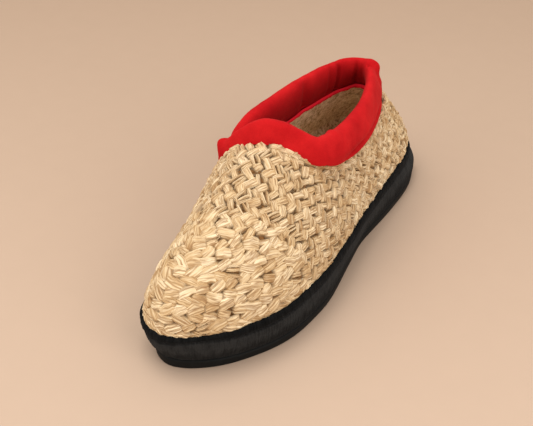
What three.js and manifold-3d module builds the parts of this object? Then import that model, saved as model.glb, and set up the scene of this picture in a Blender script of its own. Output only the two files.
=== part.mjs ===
import * as THREE from 'three';
import Module from 'manifold-3d';
import { mergeVertices } from 'three/addons/utils/BufferGeometryUtils.js';

// A left shoe in millimetres: toe toward -Y, heel toward +Y, outer side toward +X, floor at Z 0.
const LENGTH = 280;
const GAP = 0.3;
const OUTSOLE_TOP = 6.5;
const PLATFORM_TOP = 24.5;
const BINDING_TOP = 30.5;
const BINDING_WALL = 1.8;
const BINDING_HEEL_DROP = 2.2;
const HEEL_DROP_START = 70;
const HEEL_DROP_END = 128;
const FOOT_GAP = 0.6;
const OUTSOLE_STEP = 0.7;
const TOE_SPRING = 1.2;
const SPRING_START = 0.84;
const UPPER_WALL = 3;
const STRIP_RISE = 0.8;
const STRIP_ROWS = 16;
const INSOLE_THICK = 3.4;
const INSOLE_ROOM = 1.5;
const TOE_CENTRE = -84;
const HEEL_CENTRE = 96;
const SIDE_COLUMNS = 31;
const TOE_COLUMNS = 25;
const HEEL_COLUMNS = 19;
const SEAM_CEILING = 260;
const ROLL_SQUARE_LOW = 0.7;
const ROLL_SQUARE_HIGH = 0.95;
const ROLL_POINTS = 64;
const ROLL_SECTION_POINTS = 14;
const SOLE_POINTS = 84;

// Columns: share of the length from the heel, half-width on the outer side, half-width on the inner side.
const EDGE_ROWS = [
  { share: 0, outer: -0.6, inner: 0.6 },
  { share: 0.012, outer: 14, inner: 15.6 },
  { share: 0.05, outer: 26.8, inner: 29 },
  { share: 0.13, outer: 35.2, inner: 37.4 },
  { share: 0.25, outer: 39.6, inner: 41.8 },
  { share: 0.4, outer: 42.8, inner: 44 },
  { share: 0.5, outer: 46.1, inner: 47 },
  { share: 0.6, outer: 48.9, inner: 49.2 },
  { share: 0.67, outer: 49.4, inner: 48.2 },
  { share: 0.8, outer: 44.6, inner: 40.6 },
  { share: 0.9, outer: 31.6, inner: 33 },
  { share: 0.95, outer: 20.2, inner: 28.2 },
  { share: 0.988, outer: 5.6, inner: 17 },
  { share: 1, outer: -5.4, inner: 5.4 },
];

// Columns: share of the length, how far the floor edge is tucked in on each side.
const TUCK_ROWS = [
  { share: 0, outer: -1.4, inner: -1.4 },
  { share: 0.04, outer: -4.6, inner: -3.6 },
  { share: 0.12, outer: -4.2, inner: -3 },
  { share: 0.25, outer: -1.2, inner: 0 },
  { share: 0.4, outer: 3.2, inner: 4 },
  { share: 0.5, outer: 2.2, inner: 4.6 },
  { share: 0.62, outer: 0, inner: 5 },
  { share: 0.75, outer: 0.4, inner: 5.6 },
  { share: 0.88, outer: 3.8, inner: 6 },
  { share: 1, outer: 6.2, inner: 6.2 },
];

// Columns: share of the height of the side wall, share of a tuck and of an outward flare that is left there.
const WALL_ROWS = [
  { rise: 0, tuck: 1, flare: 1 },
  { rise: 0.3, tuck: 0.54, flare: 0.94 },
  { rise: 0.65, tuck: 0.18, flare: 0.62 },
  { rise: 1, tuck: 0, flare: 0 },
];

// Columns: place along the shoe, crest height over the upper's foot, fullness low and high in the section on
// the outer side, and the same on the inner side.
// Between the throat and the heel the crest lies in the opening and only steers the side walls.
const CREST_ROWS = [
  { y: 137.6, height: 0, low: 0.6, high: 0.3, innerLow: 0.6, innerHigh: 0.3 },
  { y: 136.4, height: 6.5, low: 0.6, high: 0.3, innerLow: 0.6, innerHigh: 0.3 },
  { y: 132.2, height: 17, low: 0.54, high: 0.24, innerLow: 0.54, innerHigh: 0.24 },
  { y: 125.5, height: 30, low: 0.44, high: 0.2, innerLow: 0.44, innerHigh: 0.2 },
  { y: 116.5, height: 42, low: 0.37, high: 0.19, innerLow: 0.37, innerHigh: 0.19 },
  { y: 103, height: 52.5, low: 0.35, high: 0.21, innerLow: 0.35, innerHigh: 0.21 },
  { y: 80, height: 62, low: 0.34, high: 0.25, innerLow: 0.34, innerHigh: 0.26 },
  { y: 47, height: 72, low: 0.33, high: 0.32, innerLow: 0.34, innerHigh: 0.33 },
  { y: 10, height: 79, low: 0.36, high: 0.36, innerLow: 0.43, innerHigh: 0.44 },
  { y: -15, height: 79.5, low: 0.38, high: 0.38, innerLow: 0.49, innerHigh: 0.53 },
  { y: -31, height: 76, low: 0.39, high: 0.4, innerLow: 0.45, innerHigh: 0.55 },
  { y: -56, height: 66.5, low: 0.4, high: 0.42, innerLow: 0.32, innerHigh: 0.39 },
  { y: -84, height: 55, low: 0.42, high: 0.45, innerLow: 0.35, innerHigh: 0.39 },
  { y: -112, height: 41.5, low: 0.5, high: 0.48, innerLow: 0.5, innerHigh: 0.49 },
  { y: -127, height: 30.5, low: 0.56, high: 0.5, innerLow: 0.46, innerHigh: 0.42 },
  { y: -135.4, height: 17, low: 0.6, high: 0.5, innerLow: 0.56, innerHigh: 0.46 },
  { y: -137.6, height: 0, low: 0.6, high: 0.5, innerLow: 0.6, innerHigh: 0.5 },
];

// Columns: place along the shoe on its middle line, height of the seam between straw and collar.
const SEAM_ROWS = [
  { y: -44, z: 124 },
  { y: -36, z: 108 },
  { y: -31, z: 100 },
  { y: -24, z: 90 },
  { y: -14, z: 81 },
  { y: 2, z: 75 },
  { y: 25, z: 70 },
  { y: 60, z: 67 },
  { y: 100, z: 65 },
  { y: 150, z: 64 },
];

// Columns: place across the shoe, how far the seam line is moved along the shoe and let down there.
const SEAM_ACROSS_ROWS = [
  { x: -90, along: -18, drop: 30 },
  { x: -38, along: -9, drop: 9 },
  { x: -22, along: -4.6, drop: 3 },
  { x: -8, along: -1.6, drop: 0 },
  { x: 90, along: 18, drop: 0 },
];

// Columns: top line of the padded roll seen from above, its height, half its thickness, half its height,
// and how far it leans out per millimetre downward.
const ROLL_ROWS = [
  { x: -4, y: -28, top: 113.5, half: 7.2, tall: 12.5, lean: 0 },
  { x: 9, y: -23.5, top: 110.5, half: 7.2, tall: 12.5, lean: 0 },
  { x: 19.5, y: -14, top: 104, half: 7.2, tall: 12.5, lean: 0.02 },
  { x: 25.3, y: 0, top: 98, half: 6.8, tall: 12.8, lean: 0.04 },
  { x: 25.2, y: 28, top: 95, half: 6.4, tall: 13.6, lean: 0.07 },
  { x: 21.8, y: 54, top: 94, half: 6, tall: 14.4, lean: 0.1 },
  { x: 15.2, y: 76, top: 93.5, half: 5.6, tall: 15, lean: 0.14 },
  { x: 6.6, y: 93, top: 94, half: 5.2, tall: 15.5, lean: 0.24 },
  { x: -2, y: 101, top: 95, half: 5.4, tall: 15.5, lean: 0.34 },
  { x: -11, y: 95.5, top: 95.6, half: 5.6, tall: 16, lean: 0.28 },
  { x: -18.6, y: 80, top: 95.8, half: 5.8, tall: 16.5, lean: 0.22 },
  { x: -24, y: 56, top: 96.2, half: 6.4, tall: 17, lean: 0.18 },
  { x: -26.8, y: 28, top: 97.2, half: 6.8, tall: 17, lean: 0.16 },
  { x: -30, y: -1, top: 95.8, half: 7, tall: 15, lean: 0.12 },
  { x: -31, y: -14, top: 90.5, half: 6.8, tall: 12.5, lean: 0.06 },
  { x: -30, y: -24, top: 90, half: 6.6, tall: 11, lean: 0.02 },
  { x: -21.5, y: -29.5, top: 101.5, half: 7, tall: 13, lean: 0 },
];

const wasm = await Module();
wasm.setup();

function between(rows, key, value, column) {
  const rising = rows[rows.length - 1][key] > rows[0][key];
  const list = rising ? rows : [...rows].reverse();
  const last = list.length - 1;
  if (value <= list[0][key]) return list[0][column];
  if (value >= list[last][key]) return list[last][column];
  const i = list.findIndex((row) => row[key] > value);
  const part = (value - list[i - 1][key]) / (list[i][key] - list[i - 1][key]);
  return list[i - 1][column] + part * (list[i][column] - list[i - 1][column]);
}

function smoothRows(rows, columns, count) {
  const points = columns.map((name) => rows.map((row) => row[name]));
  const curves = points.slice(1).map((values) => {
    const spots = values.map((v, i) => new THREE.Vector3(points[0][i], v, 0));
    return new THREE.CatmullRomCurve3(spots, false, 'centripetal');
  });
  return Array.from({ length: count + 1 }, (_, i) => {
    const row = {};
    curves.forEach((curve, k) => {
      const p = curve.getPoint(i / count);
      row[columns[0]] = p.x;
      row[columns[k + 1]] = p.y;
    });
    return row;
  });
}

function sideCurve(column, sign) {
  const points = EDGE_ROWS.map((row) => new THREE.Vector3(sign * row[column], LENGTH * (0.5 - row.share), 0));
  return new THREE.CatmullRomCurve3(points, false, 'centripetal').getPoints(420);
}

function insetLine(points, distance) {
  return points.map((p, i) => {
    const before = points[(i + points.length - 1) % points.length];
    const after = points[(i + 1) % points.length];
    const along = after.clone().sub(before).normalize();
    return new THREE.Vector3(p.x + along.y * distance, p.y - along.x * distance, 0);
  });
}

// One dense closed line round the platform's top edge: heel, outer side, toe, inner side.
const outerSide = sideCurve('outer', 1);
const innerSide = sideCurve('inner', -1);
const edgeLine = [...outerSide, ...innerSide.slice(1, -1).reverse()];

function evenPoints(line, count) {
  const lengths = [0];
  for (let i = 1; i < line.length; i += 1) lengths.push(lengths[i - 1] + line[i].distanceTo(line[i - 1]));
  let at = 0;
  return Array.from({ length: count }, (_, k) => {
    const want = (k / count) * lengths[lengths.length - 1];
    while (lengths[at + 1] < want) at += 1;
    return line[at].clone().lerp(line[at + 1], (want - lengths[at]) / (lengths[at + 1] - lengths[at]));
  });
}

// Evenly spaced ring that keeps the heel point and the toe point.
function evenRing(line, count) {
  const toe = line.reduce((best, p, i) => (p.y < line[best].y ? i : best), 0);
  const there = line.slice(0, toe + 1);
  const back = [...line.slice(toe), line[0]];
  return [...evenPoints(there, count / 2), ...evenPoints(back, count / 2)];
}

const soleRing = evenRing(edgeLine, SOLE_POINTS);

function tuckAt(point) {
  const share = 0.5 - point.y / LENGTH;
  return between(TUCK_ROWS, 'share', share, point.x > 0 ? 'outer' : 'inner');
}

function springAt(y) {
  const past = Math.max(0, (0.5 - y / LENGTH - SPRING_START) / (1 - SPRING_START));
  return TOE_SPRING * past * past;
}

function wallRing(rise, extraInset, height) {
  return soleRing.map((p, i) => {
    const before = soleRing[(i + SOLE_POINTS - 1) % SOLE_POINTS];
    const after = soleRing[(i + 1) % SOLE_POINTS];
    const along = after.clone().sub(before).normalize();
    const tuck = tuckAt(p);
    const inset = tuck * between(WALL_ROWS, 'rise', rise, tuck > 0 ? 'tuck' : 'flare') + extraInset;
    const spring = springAt(p.y) * (1 - rise);
    return new THREE.Vector3(p.x + along.y * inset, p.y - along.x * inset, height + spring);
  });
}

function meshData(points, faces) {
  return { points, faces };
}

function turnedOut(data) {
  let volume = 0;
  data.faces.forEach(([a, b, c]) => {
    volume += data.points[a].dot(data.points[b].clone().cross(data.points[c]));
  });
  return volume >= 0 ? data : meshData(data.points, data.faces.map(([a, b, c]) => [a, c, b]));
}

function joinRings(faces, first, second, count) {
  for (let i = 0; i < count; i += 1) {
    const n = (i + 1) % count;
    faces.push([first + i, first + n, second + n], [first + i, second + n, second + i]);
  }
}

function capRing(faces, first, count, flip) {
  for (let k = 0; k < count / 2; k += 1) {
    const a = first + k;
    const b = first + k + 1;
    const c = first + ((count - k) % count);
    const d = first + count - k - 1;
    const quad = k === 0 ? [[a, b, d]] : [[a, b, d], [a, d, c]];
    quad.filter((f) => new Set(f).size === 3).forEach(([p, q, r]) => {
      faces.push(flip ? [p, r, q] : [p, q, r]);
    });
  }
}

function stack(rings) {
  const count = rings[0].length;
  const points = rings.flat();
  const faces = [];
  for (let k = 0; k + 1 < rings.length; k += 1) joinRings(faces, k * count, (k + 1) * count, count);
  capRing(faces, 0, count, true);
  capRing(faces, (rings.length - 1) * count, count, false);
  return turnedOut(meshData(points, faces));
}

function hoop(rings) {
  const count = rings[0].length;
  const faces = [];
  for (let k = 0; k < rings.length; k += 1) {
    joinRings(faces, k * count, ((k + 1) % rings.length) * count, count);
  }
  return turnedOut(meshData(rings.flat(), faces));
}

function solid(data) {
  const vertProperties = new Float32Array(data.points.flatMap((p) => [p.x, p.y, p.z]));
  const triVerts = new Uint32Array(data.faces.flat());
  return new wasm.Manifold(new wasm.Mesh({ numProp: 3, vertProperties, triVerts }));
}

function geometry(body) {
  const mesh = body.getMesh();
  const g = new THREE.BufferGeometry();
  g.setAttribute('position', new THREE.BufferAttribute(new Float32Array(mesh.vertProperties), 3));
  g.setIndex(new THREE.BufferAttribute(new Uint32Array(mesh.triVerts), 1));
  const whole = mergeVertices(g, 1e-4);
  whole.computeVertexNormals();
  return whole;
}

// The upper's foot line stands just inside the binding.
const footLine = insetLine(edgeLine, BINDING_WALL + FOOT_GAP);
const FOOT_Z = PLATFORM_TOP + GAP;
const toeIndex = footLine.reduce((best, p, i) => (p.y < footLine[best].y ? i : best), 0);
const heelIndex = footLine.reduce((best, p, i) => (p.y > footLine[best].y ? i : best), 0);
const crestLine = smoothRows(CREST_ROWS, ['y', 'height', 'low', 'high', 'innerLow', 'innerHigh'], 600);

function halfLine(from, to) {
  const list = [];
  for (let i = from; i !== to; i = (i + 1) % footLine.length) list.push(footLine[i]);
  list.push(footLine[to]);
  return list;
}

const footOuter = halfLine(heelIndex, toeIndex);
const footInner = halfLine(toeIndex, heelIndex);
const TOE_X = footLine[toeIndex].x;

function spineX(y) {
  const past = Math.min(1, Math.max(0, (40 - y) / (40 - footLine[toeIndex].y)));
  return TOE_X * past * past;
}

// Height of the upper's outer skin over a place in plan.
function skinZ(x, y) {
  const middle = spineX(y);
  const edge = between(x > middle ? footOuter : footInner, 'y', y, 'x');
  const across = Math.min(1, Math.abs((x - middle) / (edge - middle || 1e-6)));
  const low = between(crestLine, 'y', y, x > middle ? 'low' : 'innerLow');
  const high = between(crestLine, 'y', y, x > middle ? 'high' : 'innerHigh');
  let from = 0;
  let to = 1;
  for (let k = 0; k < 26; k += 1) {
    const s = (from + to) / 2;
    const r = 1 - s;
    if (r * r * r + 3 * r * r * s + 3 * r * s * s * high > across) from = s;
    else to = s;
  }
  const s = (from + to) / 2;
  const r = 1 - s;
  const rise = 3 * r * r * s * low + 3 * r * s * s + s * s * s;
  return FOOT_Z + between(crestLine, 'y', y, 'height') * rise;
}

function columnPoints(foot, spine) {
  const fine = [];
  for (let k = 0; k <= 90; k += 1) {
    const part = (k / 90) ** 2.4;
    const p = foot.clone().lerp(spine, part);
    p.z = k === 0 ? FOOT_Z : skinZ(p.x, p.y);
    fine.push(p);
  }
  const lengths = [0];
  for (let k = 1; k < fine.length; k += 1) lengths.push(lengths[k - 1] + fine[k].distanceTo(fine[k - 1]));
  const column = [];
  let at = 0;
  for (let j = 0; j <= STRIP_ROWS; j += 1) {
    const want = (j / STRIP_ROWS) * lengths[90];
    while (at < 89 && lengths[at + 1] < want) at += 1;
    const part = (want - lengths[at]) / (lengths[at + 1] - lengths[at]);
    column.push(fine[at].clone().lerp(fine[at + 1], part));
  }
  return column;
}

function fanFeet(centre, line, count, startAngle) {
  const spots = line.map((p) => {
    const angle = Math.atan2(p.y - centre.y, p.x - centre.x);
    return { p, turn: (startAngle - angle + 4 * Math.PI) % (2 * Math.PI) };
  }).filter((spot) => spot.turn < Math.PI).sort((a, b) => a.turn - b.turn);
  return Array.from({ length: count }, (_, k) => {
    const want = ((k + 1) / (count + 1)) * Math.PI;
    const i = spots.findIndex((spot) => spot.turn >= want);
    const part = (want - spots[i - 1].turn) / (spots[i].turn - spots[i - 1].turn);
    return spots[i - 1].p.clone().lerp(spots[i].p, part);
  });
}

// Columns of the plait run from the foot to the spine: outer side, toe fan, inner side, heel fan.
function upperSkin() {
  const sideY = Array.from({ length: SIDE_COLUMNS + 1 }, (_, i) => (
    HEEL_CENTRE + (i / SIDE_COLUMNS) * (TOE_CENTRE - HEEL_CENTRE)
  ));
  const spines = sideY.map((y) => new THREE.Vector3(spineX(y), y, 0));
  const heel = spines[0];
  const toe = spines[SIDE_COLUMNS];
  const feet = [];
  sideY.forEach((y, i) => feet.push([new THREE.Vector3(between(footOuter, 'y', y, 'x'), y, 0), i]));
  fanFeet(toe, footLine, TOE_COLUMNS, 0).forEach((p) => feet.push([p, SIDE_COLUMNS]));
  [...sideY].reverse().forEach((y, i) => {
    feet.push([new THREE.Vector3(between(footInner, 'y', y, 'x'), y, 0), SIDE_COLUMNS - i]);
  });
  fanFeet(heel, footLine, HEEL_COLUMNS, Math.PI).forEach((p) => feet.push([p, 0]));
  const columns = feet.map(([foot, spine]) => columnPoints(foot, spines[spine]));
  const points = columns.flatMap((column) => column.slice(0, STRIP_ROWS));
  const spineStart = points.length;
  spines.forEach((p) => points.push(new THREE.Vector3(p.x, p.y, skinZ(p.x, p.y))));
  const at = (c, j) => {
    const column = c % feet.length;
    return j < STRIP_ROWS ? column * STRIP_ROWS + j : spineStart + feet[column][1];
  };
  const raised = points.map((p, v) => {
    const c = Math.floor(v / STRIP_ROWS);
    const j = v % STRIP_ROWS;
    if (v >= spineStart || j < 2 || j % 2 === 1) return 0;
    const next = points[at(c + 1, j)];
    const room = Math.min(1, Math.max(0, (p.distanceTo(next) - 1.2) / 2));
    return (c + j) % 4 < 2 ? STRIP_RISE * room : 0;
  });
  const faces = [];
  feet.forEach((_, c) => {
    for (let j = 0; j < STRIP_ROWS; j += 1) {
      const quad = [at(c, j), at(c + 1, j), at(c + 1, j + 1), at(c, j + 1)];
      const split = (c + j) % 2 === 0
        ? [[quad[0], quad[1], quad[2]], [quad[0], quad[2], quad[3]]]
        : [[quad[0], quad[1], quad[3]], [quad[1], quad[2], quad[3]]];
      split.filter((f) => new Set(f).size === 3).forEach((f) => faces.push(f));
    }
  });
  return { points, faces, raised, count: feet.length, at };
}

function normalsOf(points, faces) {
  const normals = points.map(() => new THREE.Vector3());
  faces.forEach(([a, b, c]) => {
    const n = points[b].clone().sub(points[a]).cross(points[c].clone().sub(points[a]));
    [a, b, c].forEach((v) => normals[v].add(n));
  });
  return normals.map((n) => n.normalize());
}

function upperShell() {
  const skin = upperSkin();
  const data = turnedOut(meshData(skin.points, skin.faces));
  const normals = normalsOf(data.points, data.faces);
  const outside = data.points.map((p, v) => p.clone().addScaledVector(normals[v], skin.raised[v]));
  const inside = data.points.map((p, v) => p.clone().addScaledVector(normals[v], -UPPER_WALL));
  const shift = outside.length;
  const faces = [...data.faces, ...data.faces.map(([a, b, c]) => [a + shift, c + shift, b + shift])];
  const flipped = data.faces[0][1] !== skin.faces[0][1];
  for (let c = 0; c < skin.count; c += 1) {
    const a = skin.at(c, 0);
    const b = skin.at(c + 1, 0);
    outside[a].z = FOOT_Z;
    inside[a].z = FOOT_Z;
    const strip = [[a, a + shift, b], [b, a + shift, b + shift]];
    strip.forEach(([p, q, r]) => faces.push(flipped ? [p, r, q] : [p, q, r]));
  }
  return meshData([...outside, ...inside], faces);
}

// Everything above the seam line, which runs across the shoe.
function aboveSeam(lift) {
  const line = smoothRows(SEAM_ROWS, ['y', 'z'], 30);
  const side = line.map((row) => new THREE.Vector2(row.y, row.z + lift));
  side.push(new THREE.Vector2(side[side.length - 1].x, SEAM_CEILING));
  side.push(new THREE.Vector2(side[0].x, SEAM_CEILING));
  const count = side.length;
  const rings = SEAM_ACROSS_ROWS.map(({ x, along, drop }) => (
    side.map((p) => new THREE.Vector3(x, p.x + along, p.y - drop))
  ));
  const last = (rings.length - 1) * count;
  const faces = [];
  for (let k = 0; k + 1 < rings.length; k += 1) joinRings(faces, k * count, (k + 1) * count, count);
  const sense = Math.sign(THREE.ShapeUtils.area(side));
  THREE.ShapeUtils.triangulateShape(side, []).forEach(([a, b, c]) => {
    const same = Math.sign(THREE.ShapeUtils.area([side[a], side[b], side[c]])) === sense;
    const [p, q, r] = same ? [a, b, c] : [a, c, b];
    faces.push([p, r, q], [p + last, q + last, r + last]);
  });
  return turnedOut(meshData(rings.flat(), faces));
}

function collarRoll() {
  const columns = ['half', 'tall', 'lean'];
  const tops = ROLL_ROWS.map((row) => new THREE.Vector3(row.x, row.y, row.top));
  const path = new THREE.CatmullRomCurve3(tops, true);
  const shape = new THREE.CatmullRomCurve3(
    ROLL_ROWS.map((row) => new THREE.Vector3(...columns.map((name) => row[name]))), true, 'catmullrom',
  );
  const spots = Array.from({ length: ROLL_POINTS }, (_, i) => path.getPoint(i / ROLL_POINTS));
  const rings = spots.map((p, i) => {
    const before = spots[(i + ROLL_POINTS - 1) % ROLL_POINTS];
    const after = spots[(i + 1) % ROLL_POINTS];
    const along = new THREE.Vector2(after.x - before.x, after.y - before.y).normalize();
    const { x: half, y: tall, z: lean } = shape.getPoint(i / ROLL_POINTS);
    return Array.from({ length: ROLL_SECTION_POINTS }, (_, k) => {
      const turn = (2 * Math.PI * k) / ROLL_SECTION_POINTS;
      const square = Math.sin(turn) < 0 ? ROLL_SQUARE_LOW : ROLL_SQUARE_HIGH;
      const down = tall * (1 - Math.sign(Math.sin(turn)) * Math.abs(Math.sin(turn)) ** square);
      const reach = half * Math.sign(Math.cos(turn)) * Math.abs(Math.cos(turn)) ** square + lean * down;
      return new THREE.Vector3(p.x + along.y * reach, p.y - along.x * reach, p.z - down);
    });
  });
  return hoop(rings);
}

// The binding is lower round the heel.
function heelLowered(ring) {
  return ring.map((p) => {
    const back = THREE.MathUtils.smoothstep(p.y, HEEL_DROP_START, HEEL_DROP_END);
    const keep = 1 - (BINDING_HEEL_DROP * back) / (BINDING_TOP - FOOT_Z);
    return new THREE.Vector3(p.x, p.y, FOOT_Z + (p.z - FOOT_Z) * keep);
  });
}

function bindingStrip() {
  const depth = BINDING_TOP - FOOT_Z;
  const rings = [
    wallRing(1, 0.5, FOOT_Z),
    wallRing(1, -0.2, FOOT_Z + 0.18 * depth),
    wallRing(1, -0.45, FOOT_Z + 0.55 * depth),
    wallRing(1, 0.1, FOOT_Z + 0.86 * depth),
    wallRing(1, 1.2, BINDING_TOP),
    wallRing(1, BINDING_WALL, BINDING_TOP - 0.5),
    wallRing(1, BINDING_WALL, FOOT_Z),
  ];
  return hoop(rings.map(heelLowered));
}

function platformBlock() {
  const rise = (z) => (z - OUTSOLE_TOP) / (PLATFORM_TOP - OUTSOLE_TOP);
  const heights = [OUTSOLE_TOP + GAP, 9, 13, 18, 22.4, PLATFORM_TOP];
  return stack(heights.map((z, k) => wallRing(rise(z), k === 0 || k === 5 ? 0.9 : 0, z)));
}

function outsolePlate() {
  return stack([
    wallRing(0, OUTSOLE_STEP + 0.6, 0),
    wallRing(0, OUTSOLE_STEP, 1.2),
    wallRing(0, OUTSOLE_STEP - 0.3, 4),
    wallRing(0, OUTSOLE_STEP, OUTSOLE_TOP),
  ]);
}

function insolePad() {
  const line = insetLine(edgeLine, BINDING_WALL + FOOT_GAP + UPPER_WALL + INSOLE_ROOM);
  const ring = evenRing(line, SOLE_POINTS);
  const at = (inset, z) => insetLine(ring, inset).map((p) => new THREE.Vector3(p.x, p.y, z));
  return stack([at(0, FOOT_Z), at(0.6, FOOT_Z + 0.6 * INSOLE_THICK), at(2, FOOT_Z + INSOLE_THICK)]);
}

const upper = solid(upperShell()).subtract(solid(aboveSeam(0)));
const collar = solid(collarRoll()).intersect(solid(aboveSeam(GAP + 0.1)));

const PIECES = [
  { name: 'outsole', body: solid(outsolePlate()), color: 0x141415, roughness: 0.75 },
  { name: 'platform', body: solid(platformBlock()), color: 0x26272a, roughness: 0.95 },
  { name: 'binding', body: solid(bindingStrip()), color: 0x1d2026, roughness: 0.9 },
  { name: 'upper', body: upper, color: 0xe3c896, roughness: 0.7 },
  { name: 'collar', body: collar, color: 0xc8201f, roughness: 0.9 },
  { name: 'insole', body: solid(insolePad()), color: 0x7c5a38, roughness: 1 },
];

const shoe = new THREE.Group();
shoe.name = 'straw_shoe';
PIECES.forEach(({ name, body, color, roughness }) => {
  const material = new THREE.MeshStandardMaterial({ color, roughness, metalness: 0 });
  const mesh = new THREE.Mesh(geometry(body), material);
  mesh.name = name;
  shoe.add(mesh);
});

// The origin is the middle of the whole box, on the floor.
const box = new THREE.Box3().setFromObject(shoe);
const middle = box.getCenter(new THREE.Vector3());
shoe.children.forEach((mesh) => mesh.geometry.translate(-middle.x, -middle.y, -box.min.z));

export default shoe;
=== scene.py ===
"""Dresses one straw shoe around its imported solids: woven straw, padded collar, cloth sole, plain stage."""

import math

import bmesh
import bpy
import numpy as np
from bpy.props import FloatProperty, FloatVectorProperty, IntProperty, PointerProperty
from mathutils import Matrix, Vector, noise


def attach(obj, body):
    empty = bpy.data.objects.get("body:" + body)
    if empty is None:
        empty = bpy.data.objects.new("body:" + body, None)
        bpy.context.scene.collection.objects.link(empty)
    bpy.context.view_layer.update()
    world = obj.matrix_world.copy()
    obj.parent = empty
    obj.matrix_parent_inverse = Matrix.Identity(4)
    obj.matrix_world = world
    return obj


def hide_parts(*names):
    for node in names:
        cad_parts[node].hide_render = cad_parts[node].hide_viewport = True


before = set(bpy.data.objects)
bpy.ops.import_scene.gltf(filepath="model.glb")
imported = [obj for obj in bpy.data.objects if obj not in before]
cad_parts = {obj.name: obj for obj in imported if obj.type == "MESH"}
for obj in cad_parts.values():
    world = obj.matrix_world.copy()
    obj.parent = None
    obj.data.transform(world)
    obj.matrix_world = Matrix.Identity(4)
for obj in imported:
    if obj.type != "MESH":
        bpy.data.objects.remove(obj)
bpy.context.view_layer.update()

bl_info = {
    "name": "Straw shoe dressing",
    "version": (1, 0, 0),
    "blender": (4, 5, 0),
    "location": "3D View > Sidebar > Straw shoe",
    "description": "Weaves, pads and finishes one straw shoe around its packed solids",
    "category": "Object",
}

# Sizes below are millimetres in the shoe's own lines: toe toward -Y, outer side toward +X, floor at Z 0.
MM = 0.001
SHIFT = np.array([-0.17, -0.36, 0.0])
LENGTH = 280
OUTSOLE_TOP = 6.5
PLATFORM_TOP = 24.5
FOOT_Z = 24.8
BINDING_TOP = 30.5
BINDING_HEEL_DROP = 5.4
SEAM_HEEL_DROP = 4.0
SEAM_TOE_RISE = 3.2
TOE_RISE_PLACE = (17, -129)
TOE_RISE_REACH = 20
HEEL_DROP_START = 70
HEEL_DROP_END = 128
BINDING_TOE_DROP = 2.8
TOE_DROP_PLACE = (-28.5, -125)
TOE_DROP_REACH = 15
SEAM_Z = 24.9
FOOT_INSET = 2.4
TOE_SPRING = 1.2
SPRING_START = 0.84
TOE_CENTRE = -84
HEEL_CENTRE = 96
SIDE_COLUMNS = 90
TOE_COLUMNS = 60
HEEL_COLUMNS = 50
INSOLE_TOP = 28.2
INSOLE_INSET = 6.9
SOLE_POINTS = 480
ROLL_POINTS = 400
ROLL_SECTION = 96
EDGE_POINTS = 420
CREST_POINTS = 600
SEAM_POINTS = 30
COLUMN_POINTS = 161
SHEET_POINTS = 121
CROWDING = 2.4
HALVINGS = 26
TINY = 1e-6
WELD = 0.002
SPINE_SWING_Y = 40
SIDE_BLEND = 3


def table(names, *rows):
    """Named columns from short rows of numbers."""
    return {name: np.array(values, float) for name, values in zip(names.split(), zip(*rows))}


EDGE = table(
    "share outer inner",
    (0, -0.6, 0.6),
    (0.012, 14, 15.6),
    (0.05, 26.8, 29),
    (0.13, 35.2, 37.4),
    (0.25, 39.6, 41.8),
    (0.4, 42.8, 44),
    (0.5, 46.1, 47),
    (0.6, 48.9, 49.2),
    (0.67, 49.4, 48.2),
    (0.8, 44.6, 40.6),
    (0.9, 31.6, 33),
    (0.95, 20.2, 28.2),
    (0.988, 5.6, 17),
    (1, -5.4, 5.4),
)
TUCK = table(
    "share outer inner",
    (0, -1.4, -1.4),
    (0.04, -4.6, -3.6),
    (0.12, -4.2, -3),
    (0.25, -1.2, 0),
    (0.4, 3.2, 4),
    (0.5, 2.2, 4.6),
    (0.62, 0, 5),
    (0.75, 0.4, 5.6),
    (0.88, 3.8, 6),
    (1, 6.2, 6.2),
)
WALL = table("rise tuck flare", (0, 1, 1), (0.3, 0.54, 0.94), (0.65, 0.18, 0.62), (1, 0, 0))
CREST = table(
    "y height low high inner_low inner_high",
    (137.6, 0, 0.6, 0.3, 0.6, 0.3),
    (136.4, 6.5, 0.6, 0.3, 0.6, 0.3),
    (132.2, 17, 0.54, 0.24, 0.54, 0.24),
    (125.5, 30, 0.44, 0.2, 0.44, 0.2),
    (116.5, 42, 0.37, 0.19, 0.37, 0.19),
    (103, 52.5, 0.35, 0.21, 0.35, 0.21),
    (80, 62, 0.34, 0.25, 0.34, 0.26),
    (47, 72, 0.33, 0.32, 0.34, 0.33),
    (10, 79, 0.36, 0.36, 0.43, 0.44),
    (-15, 79.5, 0.38, 0.38, 0.49, 0.53),
    (-31, 76, 0.39, 0.4, 0.45, 0.55),
    (-56, 66.5, 0.4, 0.42, 0.32, 0.39),
    (-84, 55, 0.42, 0.45, 0.35, 0.39),
    (-112, 41.5, 0.5, 0.48, 0.5, 0.49),
    (-127, 30.5, 0.56, 0.5, 0.46, 0.42),
    (-135.4, 17, 0.6, 0.5, 0.56, 0.46),
    (-137.6, 0, 0.6, 0.5, 0.6, 0.5),
)
SEAM = table(
    "y z",
    (-44, 124),
    (-36, 108),
    (-31, 100),
    (-24, 90),
    (-14, 81),
    (2, 75),
    (25, 70),
    (60, 67),
    (100, 65),
    (150, 64),
)
SEAM_ACROSS = table("x along drop", (-90, -18, 30), (-38, -9, 9), (-22, -4.6, 3), (-8, -1.6, 0), (90, 18, 0))
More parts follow.
